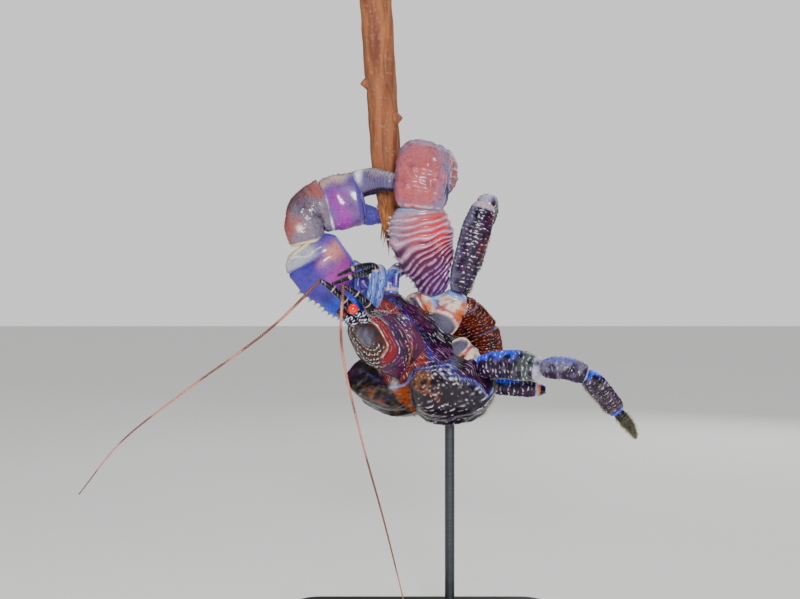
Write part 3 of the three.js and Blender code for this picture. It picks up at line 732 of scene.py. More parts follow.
# The tail, folded forward under the body: three broad red-brown plates and the tail tip, each with
# bowed scales in slanting rows and a pale blue hind rim.
TAIL_PATH = [[-54, -5, -52], [-58, -3, -72], [-42, 0, -97], [-8, 0, -102], [26, 0, -92]]
TAIL_ROWS = [[0, 34, 15], [0.3, 40, 16], [0.55, 44, 16], [0.8, 38, 13], [1, 18, 6]]
TAIL_LENGTHS = {
    "tail_tip": [0.8, 1],
    "tail_rear": [0.56, 0.8],
    "tail_middle": [0.3, 0.56],
    "tail_front": [0, 0.3],
}
tail_layers = {"deep": "#220a10", "blue": "#64709c", "rim": "#e8937c"}
tail_finish = shell("tail_plate_finish", "#54180f", tail_layers)
tail_points = in_body(*np.array(TAIL_PATH, float).T)
tail_line, ways, _ = centre_line(tail_points, np.linspace(0, 1, 201))
stops = np.array([0, 0.5, 1])
for seed, (name, (low, high)) in enumerate(TAIL_LENGTHS.items()):
    at = low + (high - low) * stops
    path = tail_line[np.round(at * 200).astype(int)]
    rows = [[stop, *between(TAIL_ROWS, share)] for stop, share in zip(stops, at)]
    facing = np.cross(RIGHT, ways[int((low + high) * 100)])
    plate = limb(path, rows, facing, blunt=12, around=220, along=80)
    length = plate.along + 1.5 * drift(plate.grid, 20, 41)
    rim, rise = scales(
        length, plate.around, spacing=3.5, dash=3.6, seed=42 + seed, arch=0.5, unrest=0.3, keep=0.95
    )
    hind_edge = soft(plate.share, 0.955, 0.985)
    edge = unit(hind_edge + 0.7 * hump(np.mod(plate.turn + 0.5, 1), 0.5, 0.035))
    deep = soft(drift(plate.grid, 25, 43), -0.2, 0.6)
    height = 0.8 * rise * (1 - edge) + 0.6 * edge - 0.4
    masks = {"deep": deep, "blue": edge, "rim": rim * (1 - edge)}
    cover(name, plate.grid, height, masks, tail_finish, "tail_plate")

# The walking legs: tubes of hard shell ringed by rows of small scales with white rims on near-black
# violet, blue along the top, each length with a smooth pale collar at its far end. The lengths meet
# at joints, and the last is a dark hooked nail.
LEG_ROWS = {
    "dactyl": [[0, 5.5, 5], [0.4, 5, 4.5], [1, 1.3, 1.3]],
    "propodus": [[0, 8, 7], [0.2, 9.5, 8], [0.8, 9, 7.5], [1, 6.5, 6]],
    "carpus": [[0, 8, 7.5], [0.3, 10, 9], [0.8, 10, 9], [1, 7.5, 7]],
    "merus": [[0, 9.5, 9], [0.25, 12, 10.5], [0.7, 13.5, 11.5], [1, 10.5, 10]],
    "base": [[0, 15, 13], [0.6, 14, 12], [1, 10, 9.5]],
    "slim_tip": [[0, 5, 4.5], [0.5, 5.5, 4.5], [1, 2, 2]],
    "slim_carpus": [[0, 6, 5.5], [0.5, 7, 6], [1, 5, 4.5]],
    "slim_merus": [[0, 7, 7], [0.3, 8, 8], [0.8, 8, 7.5], [1, 6, 6]],
}
LEG_PATHS = {
    "right_leg2": {
        "dactyl": [[46.9, 47, 336], [42, 50, 320], [35, 48, 308]],
        "propodus": [[57, 21, 382], [53, 36, 362], [46.9, 47, 337]],
        "carpus": [[57.5, -24, 400], [60, -2, 396], [57, 22, 382]],
        "merus": [[31.5, -28, 318], [42, -31, 355], [55.4, -29, 398]],
        "base": [[13, -14, 287], [22, -22, 298], [31.5, -27, 318]],
    },
    "right_leg3": {
        "dactyl": [[171, -40, 213.5], [184, -29, 199], [192.3, -17, 186.9]],
        "propodus": [[140, -65, 247.5], [155.8, -53, 231], [171, -40, 213.5]],
        "carpus": [[101.5, -61, 252.5], [120, -67, 253.6], [140, -65, 247.5]],
        "merus": [[49, -31, 252.5], [74, -47, 255.4], [101.5, -61, 252.5]],
        "base": [[27, -20, 270], [37, -26, 259], [49, -31, 252.5]],
    },
    "right_leg4": {
        "slim_tip": [[86, 36, 227], [66, 52, 229], [52, 60, 234]],
        "slim_carpus": [[107, -14, 231], [103, 10, 229], [86, 36, 227]],
        "slim_merus": [[50, -1, 235], [76, -8, 233], [107, -14, 231]],
    },
    "left_leg2": {
        "dactyl": [[-57.5, 109, 288], [-43, 105, 275], [-34, 95, 267]],
        "propodus": [[-92, 88, 331], [-75, 103, 309.5], [-57.5, 109, 288]],
        "carpus": [[-95, 47, 355], [-100, 72, 349], [-92, 88, 331]],
        "merus": [[-50, 19, 278], [-70, 33, 311.5], [-95, 47, 355]],
        "base": [[-34, 14, 268], [-42, 16, 272], [-50, 19, 278]],
    },
    "left_leg3": {
        "dactyl": [[27, 124, 252], [46, 110, 259], [54, 93, 266]],
        "propodus": [[-27, 132.2, 243], [1, 133.6, 247.5], [27, 122, 252]],
        "carpus": [[-58, 106, 233], [-46, 126, 239.5], [-27, 135, 243]],
        "merus": [[-34, 35, 244], [-51, 70, 236], [-58, 106, 233]],
        "base": [[-20, 24, 250], [-27, 29, 247], [-34, 35, 244]],
    },
    "left_leg4": {
        "slim_tip": [[-2, 104, 221], [14, 98, 224], [24, 88, 228]],
        "slim_carpus": [[-30, 76, 219.5], [-22, 95, 220], [-2, 104, 221]],
        "slim_merus": [[-8, 32, 230], [-21, 52, 221], [-30, 76, 219.5]],
    },
}
leg_layers = {
    "plum": "#34123a", "wine": "#541420", "grey": "#68647e", "moss": "#454f4c", "blue": "#1f45e6",
    "pale": "#b4aec8", "ember": "#d86c26", "rim": "#f4eef8",
}
leg_finish = shell("leg_shell_finish", "#160c2a", leg_layers, mottle=0.2)
nail_layers = {"moss": "#3c4434", "pale": "#8f93a6", "rim": "#8a8e7a"}
nail_finish = shell("leg_nail_finish", "#1d2019", nail_layers, roughness=0.42)
base_layers = {
    "pink": "#b8586a", "cream": "#ead0b4", "ember": "#c8622a", "sky": "#8098e0", "ash": "#565468",
    "rim": "#fbf2ea",
}
base_finish = shell("leg_base_finish", "#a8848e", base_layers, mottle=0.3, pits=0.00005, dark="#6c4c58")


def cosine(turns):
    """A cosine wave, 1 at every whole turn."""
    return np.cos(2 * np.pi * turns)


def base_look(part, wobble, seed):
    """Masks and height of a leg's first lengths: a smooth grey oval on the front face inside a cream
    rim, pink beside it, a waist at 0.56 of the length, and a cream and orange ring beyond it."""
    share, turn = part.share, part.turn
    oval = np.hypot((share - 0.27) / 0.2, (turn - 0.25) / 0.15) + 0.1 * wobble
    rim, rise = scales(
        part.along, part.around, spacing=2.4, dash=14, seed=seed, arch=0.1, sharp=0.2, keep=0.9
    )
    waist = hump(share, 0.56, 0.05)
    beyond = soft(share, 0.56, 0.64)
    worn = soft(drift(part.grid, 7, seed), -1.3, 0.1)
    lit = soft(wobble + 0.6 * cosine(turn), 0.35, 1.1)
    masks = {
        "pink": unit(hump(oval, 1.55, 0.25) + waist) * 0.8,
        "cream": unit(hump(oval, 1.22, 0.16) + beyond * 0.8) * worn,
        "ember": lit * unit(hump(share, 0.5, 0.12) + 0.7 * beyond),
        "sky": soft(share, 0.86, 0.93) * 0.9,
        "ash": soft(-oval, -1.12, -0.85) * 0.95,
        "rim": rim * (0.25 + 0.75 * hump(share, 0.72, 0.1)) * 0.6,
    }
    height = 0.7 * soft(-oval, -1.05, -0.7) + 0.8 * hump(oval, 1.25, 0.14) - 1.8 * waist
    return masks, height + 0.3 * rise * beyond + 1.0 * hump(share, 0.74, 0.06)


# The left legs lie behind the body, so their grids are coarser
FINENESS = {"right": 1, "left": 0.6}
LEG_TOOTH = 4
# count, length
LEG_BRISTLES = {"dactyl": [900, 3.6], "propodus": [500, 3.0]}
for seed, (leg, lengths) in enumerate(LEG_PATHS.items()):
    fine = FINENESS[leg.split("_")[0]]
    for form, path in lengths.items():
        facing = (0, 0.3, 1) if abs(path[-1][1] - path[0][1]) > 30 else (0, 1, 0)
        part = limb(path, LEG_ROWS[form], facing, around=int(104 * fine), along=int(140 * fine))
        grid, share = part.grid, part.share
        x, _, z = np.moveaxis(facings(grid)[0], -1, 0)
        wobble = drift(grid, 14, 50 + seed)
        patchy = drift(grid, 8, 55 + seed)
        length = part.along + 0.4 * wobble
        rim, rise = scales(
            length, part.around,
            spacing=4.0, dash=4.3, seed=60 + seed, sharp=0.105, unrest=0.26, keep=0.88, least=0.55
        )
        small_rim, small_rise = scales(
            length, part.around, spacing=2.2, dash=2.6, seed=70 + seed, keep=0.45
        )
        collar = soft(share, 0.9, 0.94)
        rough = (1 - collar) * soft(share, 0.02, 0.08)
        half_turn = np.mod(part.turn + 0.75, 0.5)
        edges = hump(half_turn, 0.16, 0.035) + hump(half_turn, 0.34, 0.035)
        teeth = 0.4 + 0.6 * np.cos(np.pi * part.along / LEG_TOOTH) ** 2
        height = (0.75 * rise + 0.25 * small_rise) * rough + 0.7 * hump(share, 0.93, 0.03) - 0.4
        height = height + 0.9 * edges * teeth * rough * (form != "dactyl")
        second, third, fourth = (leg.endswith(str(k)) for k in (2, 3, 4))
        merus, carpus, propodus = (form.endswith(end) for end in ("merus", "carpus", "propodus"))
        top = soft(z + 0.25 * patchy, 0.2, 0.6)
        blue_share = 0.15 * second + (0.9 if merus else 0.35) * third + 0.95 * fourth
        wine = soft(x + 0.3 * wobble, 0.15, 0.7)
        grey = soft(0.35 * wobble - x, 0.2, 0.8) * second + 0.5 * soft(patchy, 0.2, 0.8) * third
        blue = top * blue_share * soft(-share, -0.8, -0.5) + propodus * hump(share, 0.93, 0.05)
        pale_root = carpus * second * soft(-share, -0.4, 0)
        ember = fourth * merus * soft(share, 0.94, 0.98)
        white = soft(patchy, -1.4, 0.2) * (1 - 0.45 * third * carpus)
        masks = {
            "plum": soft(patchy, -0.5, 0.4) * 0.85,
            "wine": wine * second * merus * soft(share, 0.2, 0.5) * soft(patchy, -1.2, 0.4) * 0.8,
            # On the third legs' wrists the grey on the upper side is a painted highlight; the rest of the
            # grey is the shell's own colour.
            "grey": unit(grey + third * carpus * soft(z - 0.4 * x + 0.3 * wobble, -0.3, 0.6)) * 0.8,
            "moss": soft(share, 0.55, 0.8) * soft(patchy, -0.8, 0.1) * third * merus * 0.8,
            "blue": unit(blue + propodus * 0.9 * top * soft(-share, -0.3, -0.1)),
            "pale": unit(collar * (1 - propodus) + pale_root) * soft(wobble, -1.2, 0) * 0.8,
            "ember": unit(ember + 0.5 * second * hump(share, 0.97, 0.02)),
            "rim": unit(rim * 0.9 + 0.2 * small_rim) * rough * white,
        }
        finish, slot = leg_finish, "leg_shell"
        if form in ("dactyl", "slim_tip"):
            finish = nail_finish
        if form == "base":
            finish, slot = base_finish, "joint_shell"
            masks, height = base_look(part, wobble, 75 + seed)
        name = f"{leg}_{form.replace('slim_', '')}"
        cover(name, grid, height, masks, finish, slot)
        if form in LEG_BRISTLES:
            count, length = LEG_BRISTLES[form]
            count = int(count * fine)
            weight = 1 if form == "dactyl" else soft(-z, -0.4, 0.5)
            weight = weight * soft(share, 0.05, 0.2) * soft(-share, -0.95, -0.8)
            bristles(name + "_bristles", grid, weight, olive_bristle, slot, count, length, 76 + seed)

# The left claw, its inner face to the front: a smooth violet arm with a saw edge of white-tipped
# spines, a stippled wrist, a broad hand with a short fixed finger, and a hooked moving finger.
LEFT_CLAW = {
    "finger": {
        "path": [[-61, -12, 415], [-45, -19, 418], [-30, -29, 416.5], [-15, -33, 409.5]],
        "rows": [[0, 13, 10], [0.3, 12, 9], [0.7, 8.5, 7.5], [1, 4, 4]],
        "square": 2.2,
        "blunt": 10,
    },
    "palm": {
        "path": [[-90, -12, 396], [-74, -11, 400], [-53, -9, 404]],
        "rows": [[0, 23, 14], [0.4, 25, 17], [0.8, 24, 16], [1, 20, 13]],
        "square": 2.6,
        "blunt": 14,
    },
    "carpus": {
        "path": [[-103, -13, 362], [-106, -14, 379], [-100, -13, 392], [-86, -11, 398]],
        "rows": [[0, 16, 14], [0.3, 17.5, 17], [0.65, 20.5, 18], [1, 25, 16]],
        "blunt": 12,
    },
    "merus": {
        "path": [[-59, 2, 294], [-70, -3, 311], [-86, -9, 334], [-107, -13, 362]],
        "rows": [[0, 10, 10], [0.3, 20, 13], [0.62, 28, 15], [0.85, 28, 14], [1, 21, 13]],
        "blunt": 10,
    },
    "base": {"path": [[-38, 2, 285], [-48, 2, 288], [-60, 2, 295]], "rows": [[0, 14, 13], [1, 11, 11]]},
}
LEFT_THUMB = {
    "path": [[-64, -8, 392], [-50, -4, 389], [-38.5, 4, 387], [-33, 15, 386]],
    "rows": [[0, 12, 10], [0.4, 9, 8], [0.75, 5.5, 5.5], [1, 2, 2]],
    "square": 2,
}
FINGER_ROW = 2.6
merus_layers = {
    "magenta": "#a83c9c", "peach": "#dd8f7c", "sky": "#2a4fe0", "ash": "#a9abb8", "cream": "#f0dcae",
    "seam": "#1a1426", "rim": "#f4f0f6",
}
merus_finish = shell("left_arm_finish", "#4434a4", merus_layers, roughness=0.24, mottle=0.4, dark="#22144c")
wrist_layers = {
    "sand": "#7e7488", "dusk": "#40465c", "cream": "#f2dca4", "seam": "#1c1422", "rim": "#f6e0d4",
}
wrist_finish = shell("left_wrist_finish", "#a25a54", wrist_layers, mottle=0.3, dark="#6e4452")
hand_layers = {
    "sand": "#b79a94", "magenta": "#9c2ca4", "sky": "#4e48a4", "white": "#f0eaf8", "seam": "#140e20",
    "rim": "#d9d0e6",
}
hand_finish = shell("left_hand_finish", "#725696", hand_layers, roughness=0.24, mottle=0.35, dark="#3a2650")
finger_layers = {"sand": "#9a8f9a", "dusk": "#2a2032", "white": "#eef0fa", "rim": "#d0c6da"}
finger_finish = shell("left_finger_finish", "#665a86", finger_layers, mottle=0.3, dark="#3c3048")
dark_bristle = bristle("dark_bristle", "#1a1418", "#5a4a48")
horn_spine = bristle("horn_spine", "#2a2238", "#f6f2f0")


def spine_row(name, grid, count, span, turn, lengths, radii, bend):
    """Spines in a row at one turn of an arm; their places, lengths and radii run evenly from the
    first to the last of each pair."""
    rows = (np.linspace(*span, count) * grid.shape[0]).astype(int)
    columns = np.full(count, int(turn * grid.shape[1]))
    ways = facings(grid)[0][rows, columns]
    roots = grid[rows, columns] - ways
    sizes = np.linspace(*lengths, count), np.linspace(*radii, count)
    patch = np.stack([columns / grid.shape[1], rows / grid.shape[0]], -1)
    mesh = spikes(name, roots, ways, *sizes, np.zeros((count, 3)) + bend, patch, sides=10)
    place(name, mesh, horn_spine)


def claw_thumb(name, part, masks, finish, seed):
    """A claw's fixed finger, part of the hand's own solid: fine low scales over its masks."""
    rim, rise = scales(part.along, part.around, spacing=2.6, dash=2.4, seed=seed)
    height = 0.3 * drift(part.grid, 8, seed - 6) + 0.25 * rise
    dress(name, part.grid, height, {**masks, "rim": rim * 0.4}, finish, "claw_shell")


for part_name, shape in LEFT_CLAW.items():
    name = "left_claw_" + part_name
    part = limb(**shape, around=170, along=170)
    grid, share, turn = part.grid, part.share, part.turn
    _, y, z = np.moveaxis(facings(grid)[0], -1, 0)
    wobble = drift(grid, 16, 71)
    patchy = drift(grid, 8, 73)
    rim, rise = scales(
        part.along + wobble, part.around, spacing=3.0, dash=2.6, seed=72, arch=0.25, sharp=0.14
    )
    height = 0.3 * wobble
    far = cosine(turn)
    slot = "joint_shell" if part_name == "base" else "claw_shell"
    if part_name == "merus":
        finish = merus_finish
        fold = share + 0.05 * far
        left_part = 0.12 + 0.88 * soft(-far + 0.3 * wobble, -0.6, 0.3)
        welt = hump(fold + 0.04 * wobble, 0.88, 0.012)
        masks = {
            "magenta": hump(share, 0.5, 0.18) * soft(far + 0.4 * wobble, -0.7, 0.4) * 0.85,
            "peach": hump(share, 0.76, 0.13) * soft(far + 0.3 * wobble, -0.3, 0.8) * 0.75,
            "sky": unit(soft(-share + 0.08 * wobble, -0.48, -0.2) + soft(far, 0.75, 0.97) * 0.6),
            "ash": soft(fold, 0.77, 0.86) * left_part,
            "cream": hump(share, 0.985, 0.02),
            "seam": hump(fold, 0.79, 0.008) * 0.5 * left_part,
            "rim": unit(rim * soft(-share, -0.35, -0.2) * 0.7 + 0.6 * welt * left_part),
        }
        height = height + left_part * (1.2 * hump(fold, 0.88, 0.03) - 1.6 * hump(fold, 0.79, 0.018))
        height = height + 0.3 * rise * soft(-share, -0.35, -0.2)
        spine_row(
            "left_arm_spines",
            grid,
            count=11,
            span=(0.055, 0.582),
            turn=0.5,
            lengths=(4.5, 6.5),
            radii=(1.3, 2.0),
            bend=[-0.3, 0, 0.3],
        )
    elif part_name == "carpus":
        finish = wrist_finish
        stipple = hump(share + 0.04 * wobble, 0.62, 0.17) * soft(-y, -0.3, 0.3)
        masks = {
            "sand": soft(far + 0.5 * wobble, -1.0, 0.4) * 0.9,
            "dusk": unit(stipple * (0.55 + 0.45 * rim) + 0.35 * rim),
            "cream": soft(-share, -0.09, -0.02),
            "seam": soft(share, 0.97, 0.99),
            "rim": unit(rim * 0.2 + 0.8 * hump(share, 0.3, 0.06) * hump(turn, 0.27, 0.03)),
        }
        height = height + 0.4 * rise + 0.3 * patchy
        bristles("left_wrist_stipple", grid, stipple + 0.05, dark_bristle, slot, 1100, 1.5, 74, radius=0.2)
    elif part_name == "palm":
        finish = hand_finish
        seams = hump(share, 0.06, 0.014) + hump(share, 0.93, 0.012)
        masks = {
            "sand": soft(z - 1.1 * share + 0.3 * wobble, -0.25, 0.45) * 0.9,
            "magenta": hump(share + 0.1 * wobble, 0.42, 0.26) * soft(0.25 - z, -0.2, 0.5) * 0.95,
            "sky": soft(share + 0.1 * z, 0.68, 0.98) * 0.8,
            "white": hump(share, 0.12, 0.035) * soft(0.3 * wobble - z, -0.5, 0.6) * 0.8,
            "seam": unit(seams) * 0.9,
            "rim": rim * soft(-z, 0.4, 0.7) * 0.9,
        }
        height = height + 0.6 * rise * soft(-z, 0.4, 0.7) - 0.9 * seams
        comb = hump(z, 0.85, 0.25) * soft(share, 0.1, 0.2)
        comb_hair = {"count": 320, "length": 2.2, "seed": 75, "radius": 0.16, "lean": -0.5}
        bristles("left_hand_comb", grid, comb + FAINT, dark_bristle, slot, **comb_hair)
    elif part_name == "finger":
        finish = finger_finish
        fine_rows = soft(cosine(part.along / FINGER_ROW + 3 * turn), 0.4, 1)
        fine_rows = fine_rows * soft(share, 0.2, 0.35)
        # Painted light and shade by facing: the sand on the upper side is painted light, the dusk on the
        # underside is painted shade over the real dark rows of setae, and the white patch near the root is
        # a painted highlight.
        masks = {
            "sand": soft(z + 0.3 * wobble, 0.2, 0.8) * 0.8,
            "dusk": unit(soft(-z, 0.45, 0.8) + fine_rows * 0.45),
            "white": hump(share, 0.17, 0.07) * soft(z, -0.4, 0.3) * 0.8,
            "rim": rim * 0.35,
        }
        height = height + 0.3 * rise - 0.2 * fine_rows
        upper_rows = fine_rows * soft(z, -0.3, 0.4) + FAINT
        bristles("left_finger_rows", grid, upper_rows, dark_bristle, slot, count=420, length=1.8, seed=77)
    else:
        finish = base_finish
        masks, height = base_look(part, wobble, 78)
    cover(name, grid, height, masks, finish, slot)
thumb = limb(**LEFT_THUMB, around=120, along=120)
masks = {"magenta": soft(-thumb.share, -0.3, 0) * 0.8, "sky": 0.85 * soft(thumb.share, 0, 0.3)}
claw_thumb("left_claw_thumb", thumb, masks, hand_finish, seed=79)

# The right claw, its outer face to the front: an arm crossed by some fifteen strong rounded ridges,
# coral above and dark wine below, a pitted coral wrist, and a hand closed behind the branch.
RIGHT_CLAW = {
    "finger": {
        "path": [[2, 21, 430], [-10, 27, 433], [-26, 27, 434], [-40, 15, 431]],
        "rows": [[0, 10, 9], [0.5, 8, 7], [1, 3, 3]],
        "square": 2,
    },
    "palm": {
        "path": [[11, -32, 430], [16, -14, 429], [14, 4, 425], [3, 19, 422]],
        "rows": [[0, 17, 15], [0.5, 20, 16], [1, 15, 13]],
        "facing": (1, 0.3, 0),
        "blunt": 4,
    },
    "carpus": {
        "path": [[-3, -51, 390], [-1, -53, 410], [1, -51, 429], [5, -44, 444.5]],
        "rows": [[0, 21, 15], [0.35, 24, 17], [0.75, 24, 17], [1, 19, 14]],
        "square": 2.9,
        "blunt": 8,
    },
    "merus": {
        "path": [[13, -23, 312], [6, -33, 338], [-1, -43, 364], [-4, -51, 395]],
        "rows": [[0, 8, 9], [0.2, 16, 12], [0.45, 25, 15], [0.7, 28, 16], [0.9, 25, 15], [1, 21, 13]],
    },
    "base": {"path": [[-8, -14, 303], [1, -18, 308], [13, -23, 313]], "rows": [[0, 14, 13], [1, 10, 11]]},
}
RIGHT_THUMB = {
    "path": [[5, 14, 414], [-4, 14, 409], [-11, 4, 406]],
    "rows": [[0, 9, 8], [0.5, 7, 6], [1, 2.5, 2.5]],
    "square": 2,
}
MERUS_RIDGES, MERUS_DASH = 15, 10
WRIST_LINES, SETAE_SPACING = 34, 5
arm_layers = {
    "coral": "#b8483e", "hot": "#d8101c", "wine": "#620c46", "purple": "#34106c", "lilac": "#988c9e",
    "valley": "#44083a", "welt": "#c48cac", "dash": "#9478d0", "sky": "#a9c2ea", "rim": "#f6e2ea",
}
arm_finish = shell("right_arm_finish", "#741636", arm_layers, mottle=0.3)
coral_layers = {
    "lilac": "#7c7494", "rose": "#b8504c", "pit": "#50303c", "navy": "#141c4c", "line": "#cbb8dc",
    "rim": "#fbe8e6",
}
coral_finish = shell(
    "right_wrist_finish", "#b45c62", coral_layers, roughness=0.34, mottle=0.5, coat=0.2, dark="#7c4458"
)
for part_name, shape in RIGHT_CLAW.items():
    name = "right_claw_" + part_name
    fine = 1.6 if part_name == "merus" else 1
    part = limb(**shape, around=int(150 * fine), along=int(170 * fine))
    grid, share, turn = part.grid, part.share, part.turn
    x, _, z = np.moveaxis(facings(grid)[0], -1, 0)
    wobble = drift(grid, 18, 81)
    patchy = drift(grid, 9, 84)
    rim, rise = scales(part.along + wobble, part.around, spacing=3.4, dash=3.2, seed=82, sharp=0.14)
    height = 0.3 * wobble
    slot = "joint_shell" if part_name == "base" else "claw_shell"
    if part_name == "merus":
        finish = arm_finish
        far = cosine(turn)
        low = soft(-share, -0.72, -0.42)
        wave = share * MERUS_RIDGES - far * (0.4 + 1.9 * low) + 0.3 * wobble
        welt = np.floor(wave)
        lane = part.around / MERUS_DASH + chance(welt, seed=85) + 0.25 * patchy
        x_in = 2 * np.mod(lane, 1) - 1
        dash = unit(1.1 - np.abs(x_in) ** 2.4)
        whole = 1 - low * (1 - dash)
        tall = 0.7 + 0.5 * chance(welt, np.floor(lane), 86)
        swell = hump(np.mod(wave, 1), 0.5, 0.25 - 0.03 * low) * whole * (1 - 0.25 * low)
        ridged = soft(-share, -0.93, -0.86) * soft(share, 0.06, 0.14)
        height = height + 1.9 * swell * ridged * tall - 0.9
        height = height + 0.8 * hump(share, 0.955, 0.02)
        near_margin = hump(turn, 0.45, 0.13 + 0.05 * share)
        margin = unit(near_margin + 0.7 * hump(np.mod(turn + 0.5, 1), 0.53, 0.07))
        valley = soft(0.5 - swell, -0.1, 0.5) * ridged
        crest = soft(swell, 0.66, 1.0) * ridged
        masks = {
            "coral": soft(share + 0.08 * wobble, 0.5, 0.8) * soft(0.42 - turn, 0, 0.12) * 0.9,
            "hot": hump(share, 0.66, 0.2) * hump(turn, 0.18, 0.1),
            "wine": soft(-share + 0.1 * wobble, -0.55, -0.35) * 0.9,
            "purple": soft(-share + 0.1 * patchy, -0.36, -0.12),
            "lilac": unit(margin * 0.85 + soft(share, 0.9, 0.95) * 0.8),
            "valley": valley * soft(-share + 0.1 * wobble, -0.86, -0.5) * 0.8,
            "welt": swell * ridged * 0.95,
            "dash": swell * ridged * soft(-share + 0.08 * wobble, -0.55, -0.25) * 0.85,
            "sky": unit(soft(-share, -0.09, -0.04) + hump(share, 0.985, 0.02)),
            "rim": unit(crest * soft(patchy, -0.9, 0.6) * (0.4 + 0.6 * low)),
        }
        spine_row(
            "right_arm_spines",
            grid,
            count=13,
            span=(0.115, 0.845),
            turn=0.485,
            lengths=(3.9, 3.9),
            radii=(1.5, 1.5),
            bend=[-0.1, 0, 0.25],
        )
    elif part_name in ("carpus", "palm"):
        finish = coral_finish
        wrist = part_name == "carpus"
        right_side = soft(x + 0.15 * wobble, 0.35, 0.75)
        lines = soft(cosine(turn * WRIST_LINES + 0.4 * share), 0.75, 1) * right_side
        setae = hump(np.mod(part.along / SETAE_SPACING + 0.3 * wobble, 1), 0.5, 0.16)
        setae = setae * soft(patchy, -0.7, 0.4)
        off_middle = np.hypot(cosine(turn) + 0.2, (share - 0.42) / 0.58)
        pale_root = wrist * 0.35 * hump(share, 0.06, 0.03) * soft(patchy, -0.8, 0.5)
        masks = {
            "lilac": soft(off_middle + 0.12 * wobble, 0.35, 1.1) * 0.9,
            "rose": soft(wobble + 0.2 * patchy, -0.5, 1) * 0.6,
            "pit": unit(rim * 0.75 * soft(patchy, -0.9, 0.4) + setae * 0.12),
            "navy": right_side * hump(share, 0.3, 0.12) * wrist * 0.8,
            "line": lines * 0.7,
            "rim": unit(rise * rim * 0.1 + pale_root),
        }
        height = height + 0.4 * lines + 0.6 * patchy
        setae_name = "right_wrist_setae" if wrist else "right_hand_setae"
        bristles(setae_name, grid, setae + FAINT, dark_bristle, slot, count=620, length=1.3, seed=87)
    elif part_name == "finger":
        finish = finger_finish
        # Painted light and shade by facing: the sand on the upper side is painted light and the dusk on the
        # underside is painted shade.
        masks = {"sand": soft(z, 0, 0.7), "dusk": soft(-z, 0.3, 0.8), "rim": rim * 0.5}
        height = height + 0.3 * rise
    else:
        finish = base_finish
        masks, height = base_look(part, wobble, 88)
    cover(name, grid, height, masks, finish, slot)
thumb = limb(**RIGHT_THUMB, around=100, along=100)
claw_thumb("right_claw_thumb", thumb, {"lilac": 0.5}, coral_finish, seed=89)

# The feelers: two long ringed whips on jointed stems, and two short forked antennules that rise
# on pale tubes and bend down in dark bars.
WHIPS = {
    "left": [
        [-88, -73, 328], [-128.6, -87, 287.4], [-201.4, -98.7, 233.3],
        [-251.3, -97, 193.4], [-287.6, -89, 149.6],
    ],
    "right": [[-68, -74, 325], [-69, -85, 275], [-53.7, -91, 202.6], [-32.6, -81, 122.4], [-10.5, -59, 27]],
}
STEMS = {
    "left": [[-61, -60, 303], [-69.5, -67, 314], [-79.5, -71, 322.6], [-88, -73, 328.6]],
    "right": [[-43, -57, 301], [-49, -65, 309], [-56, -70, 316], [-67.5, -73.5, 323.5]],
}
ANTENNULES = {
    "left": [
        [-46.8, -53, 304.6], [-44, -59, 322.8], [-41.5, -61, 340],
        [-54, -67, 340.2], [-73.3, -75, 332.3],
    ],
    "right": [
        [-40, -49, 304.6], [-37.3, -53, 322], [-36, -53, 338.4],
        [-49.2, -61, 335.6], [-77.8, -71, 325.2],
    ],
}
STEM_ROWS = [[0, 4.4, 4.4], [0.5, 3.2, 3.2], [1, 2, 2]]
ANTENNULE_ROWS = [[0, 4, 4], [0.42, 3.4, 3.4], [0.55, 2.6, 2.6], [1, 1.6, 1.6]]
WHIP_ROWS = [[0, 1.25, 1.25], [0.5, 0.85, 0.85], [1, 0.5, 0.5]]
WHIP_RING, STEM_STRIPES = 1.7, 4
whip_layers = {"ring": "#4a2a2c", "pink": "#cc8274"}
whip_finish = shell("whip_finish", "#8a5442", whip_layers, roughness=0.4, mottle=0.1)
stem_layers = {"blue": "#5f7ccc", "joint": "#c8a8a0", "seam": "#1c1c48", "rim": "#d0d0ec"}
stem_finish = shell("stem_finish", "#0f0a14", stem_layers)
for side_name, whip_path in WHIPS.items():
    part = limb(whip_path, WHIP_ROWS, square=2, blunt=200, around=10, along=1000)
    rings = np.cos(part.along * 2 * np.pi / WHIP_RING)
    masks = {"ring": soft(-rings, 0.2, 0.9), "pink": soft(drift(part.grid, 60, 91), -0.2, 0.6)}
    halves = [f"{side_name}_antenna_inner", f"{side_name}_antenna_outer"]
    dress(side_name + "_whip", part.grid, 0.07 * rings, masks, whip_finish, "feeler", halves)
    for kind, path, rows, facing, joints_at, blue_part in (
        ("antenna_stem", STEMS, STEM_ROWS, (0, 1, 0), (0.3, 0.66), 0),
        ("antennule", ANTENNULES, ANTENNULE_ROWS, (0.2, 1, 0.1), (0.46, 0.8), 1),
    ):
        part = limb(path[side_name], rows, facing, square=2, around=48, along=120)
        joints = sum(hump(part.share, at, 0.016) for at in joints_at)
        blue = blue_part * soft(-part.share, -0.5, -0.42)
        stripes = cosine(part.turn * STEM_STRIPES + 0.4 * drift(part.grid, 12, 93))
        seams = blue * soft(stripes, 0.6, 1)
        glints = soft(drift(part.grid * [1, 1, 0.3], 2.5, 92), 0.2, 0.8)
        masks = {
            "blue": blue,
            "joint": unit(joints) * 0.8,
            "seam": seams * 0.75,
            "rim": glints * (0.3 + 0.3 * blue),
        }
        height = 0.3 * joints - 0.3 * seams
        cover(f"{side_name}_{kind}", part.grid, height, masks, stem_finish, "feeler_stem")

# The eyes: wet red balls on short dark stalks under the front of the shield.
EYES = {"left": [[-58, -60, 292], [-69.4, -69, 300.5]], "right": [[-49, -65, 294], [-59.8, -75, 304]]}
EYE_BALL = 4.6


def eye_red(name, deep, bright):
    """Red from deep to bright in soft patches, with facets too fine to see but for a slight grain."""
    paint = Paint(name)
    facet = paint.add("ShaderNodeTexVoronoi", None, {"Vector": paint.place, "Scale": 2600.0})
    cloud = paint.noise(160, 2)
    colour = paint.blend(cloud.step(0.3, 0.65), deep, bright)
    return paint.finish(colour, 0.06 + facet * 0.05, facet, 0.00004, Coat_Weight=0.8, Coat_Roughness=0.03)
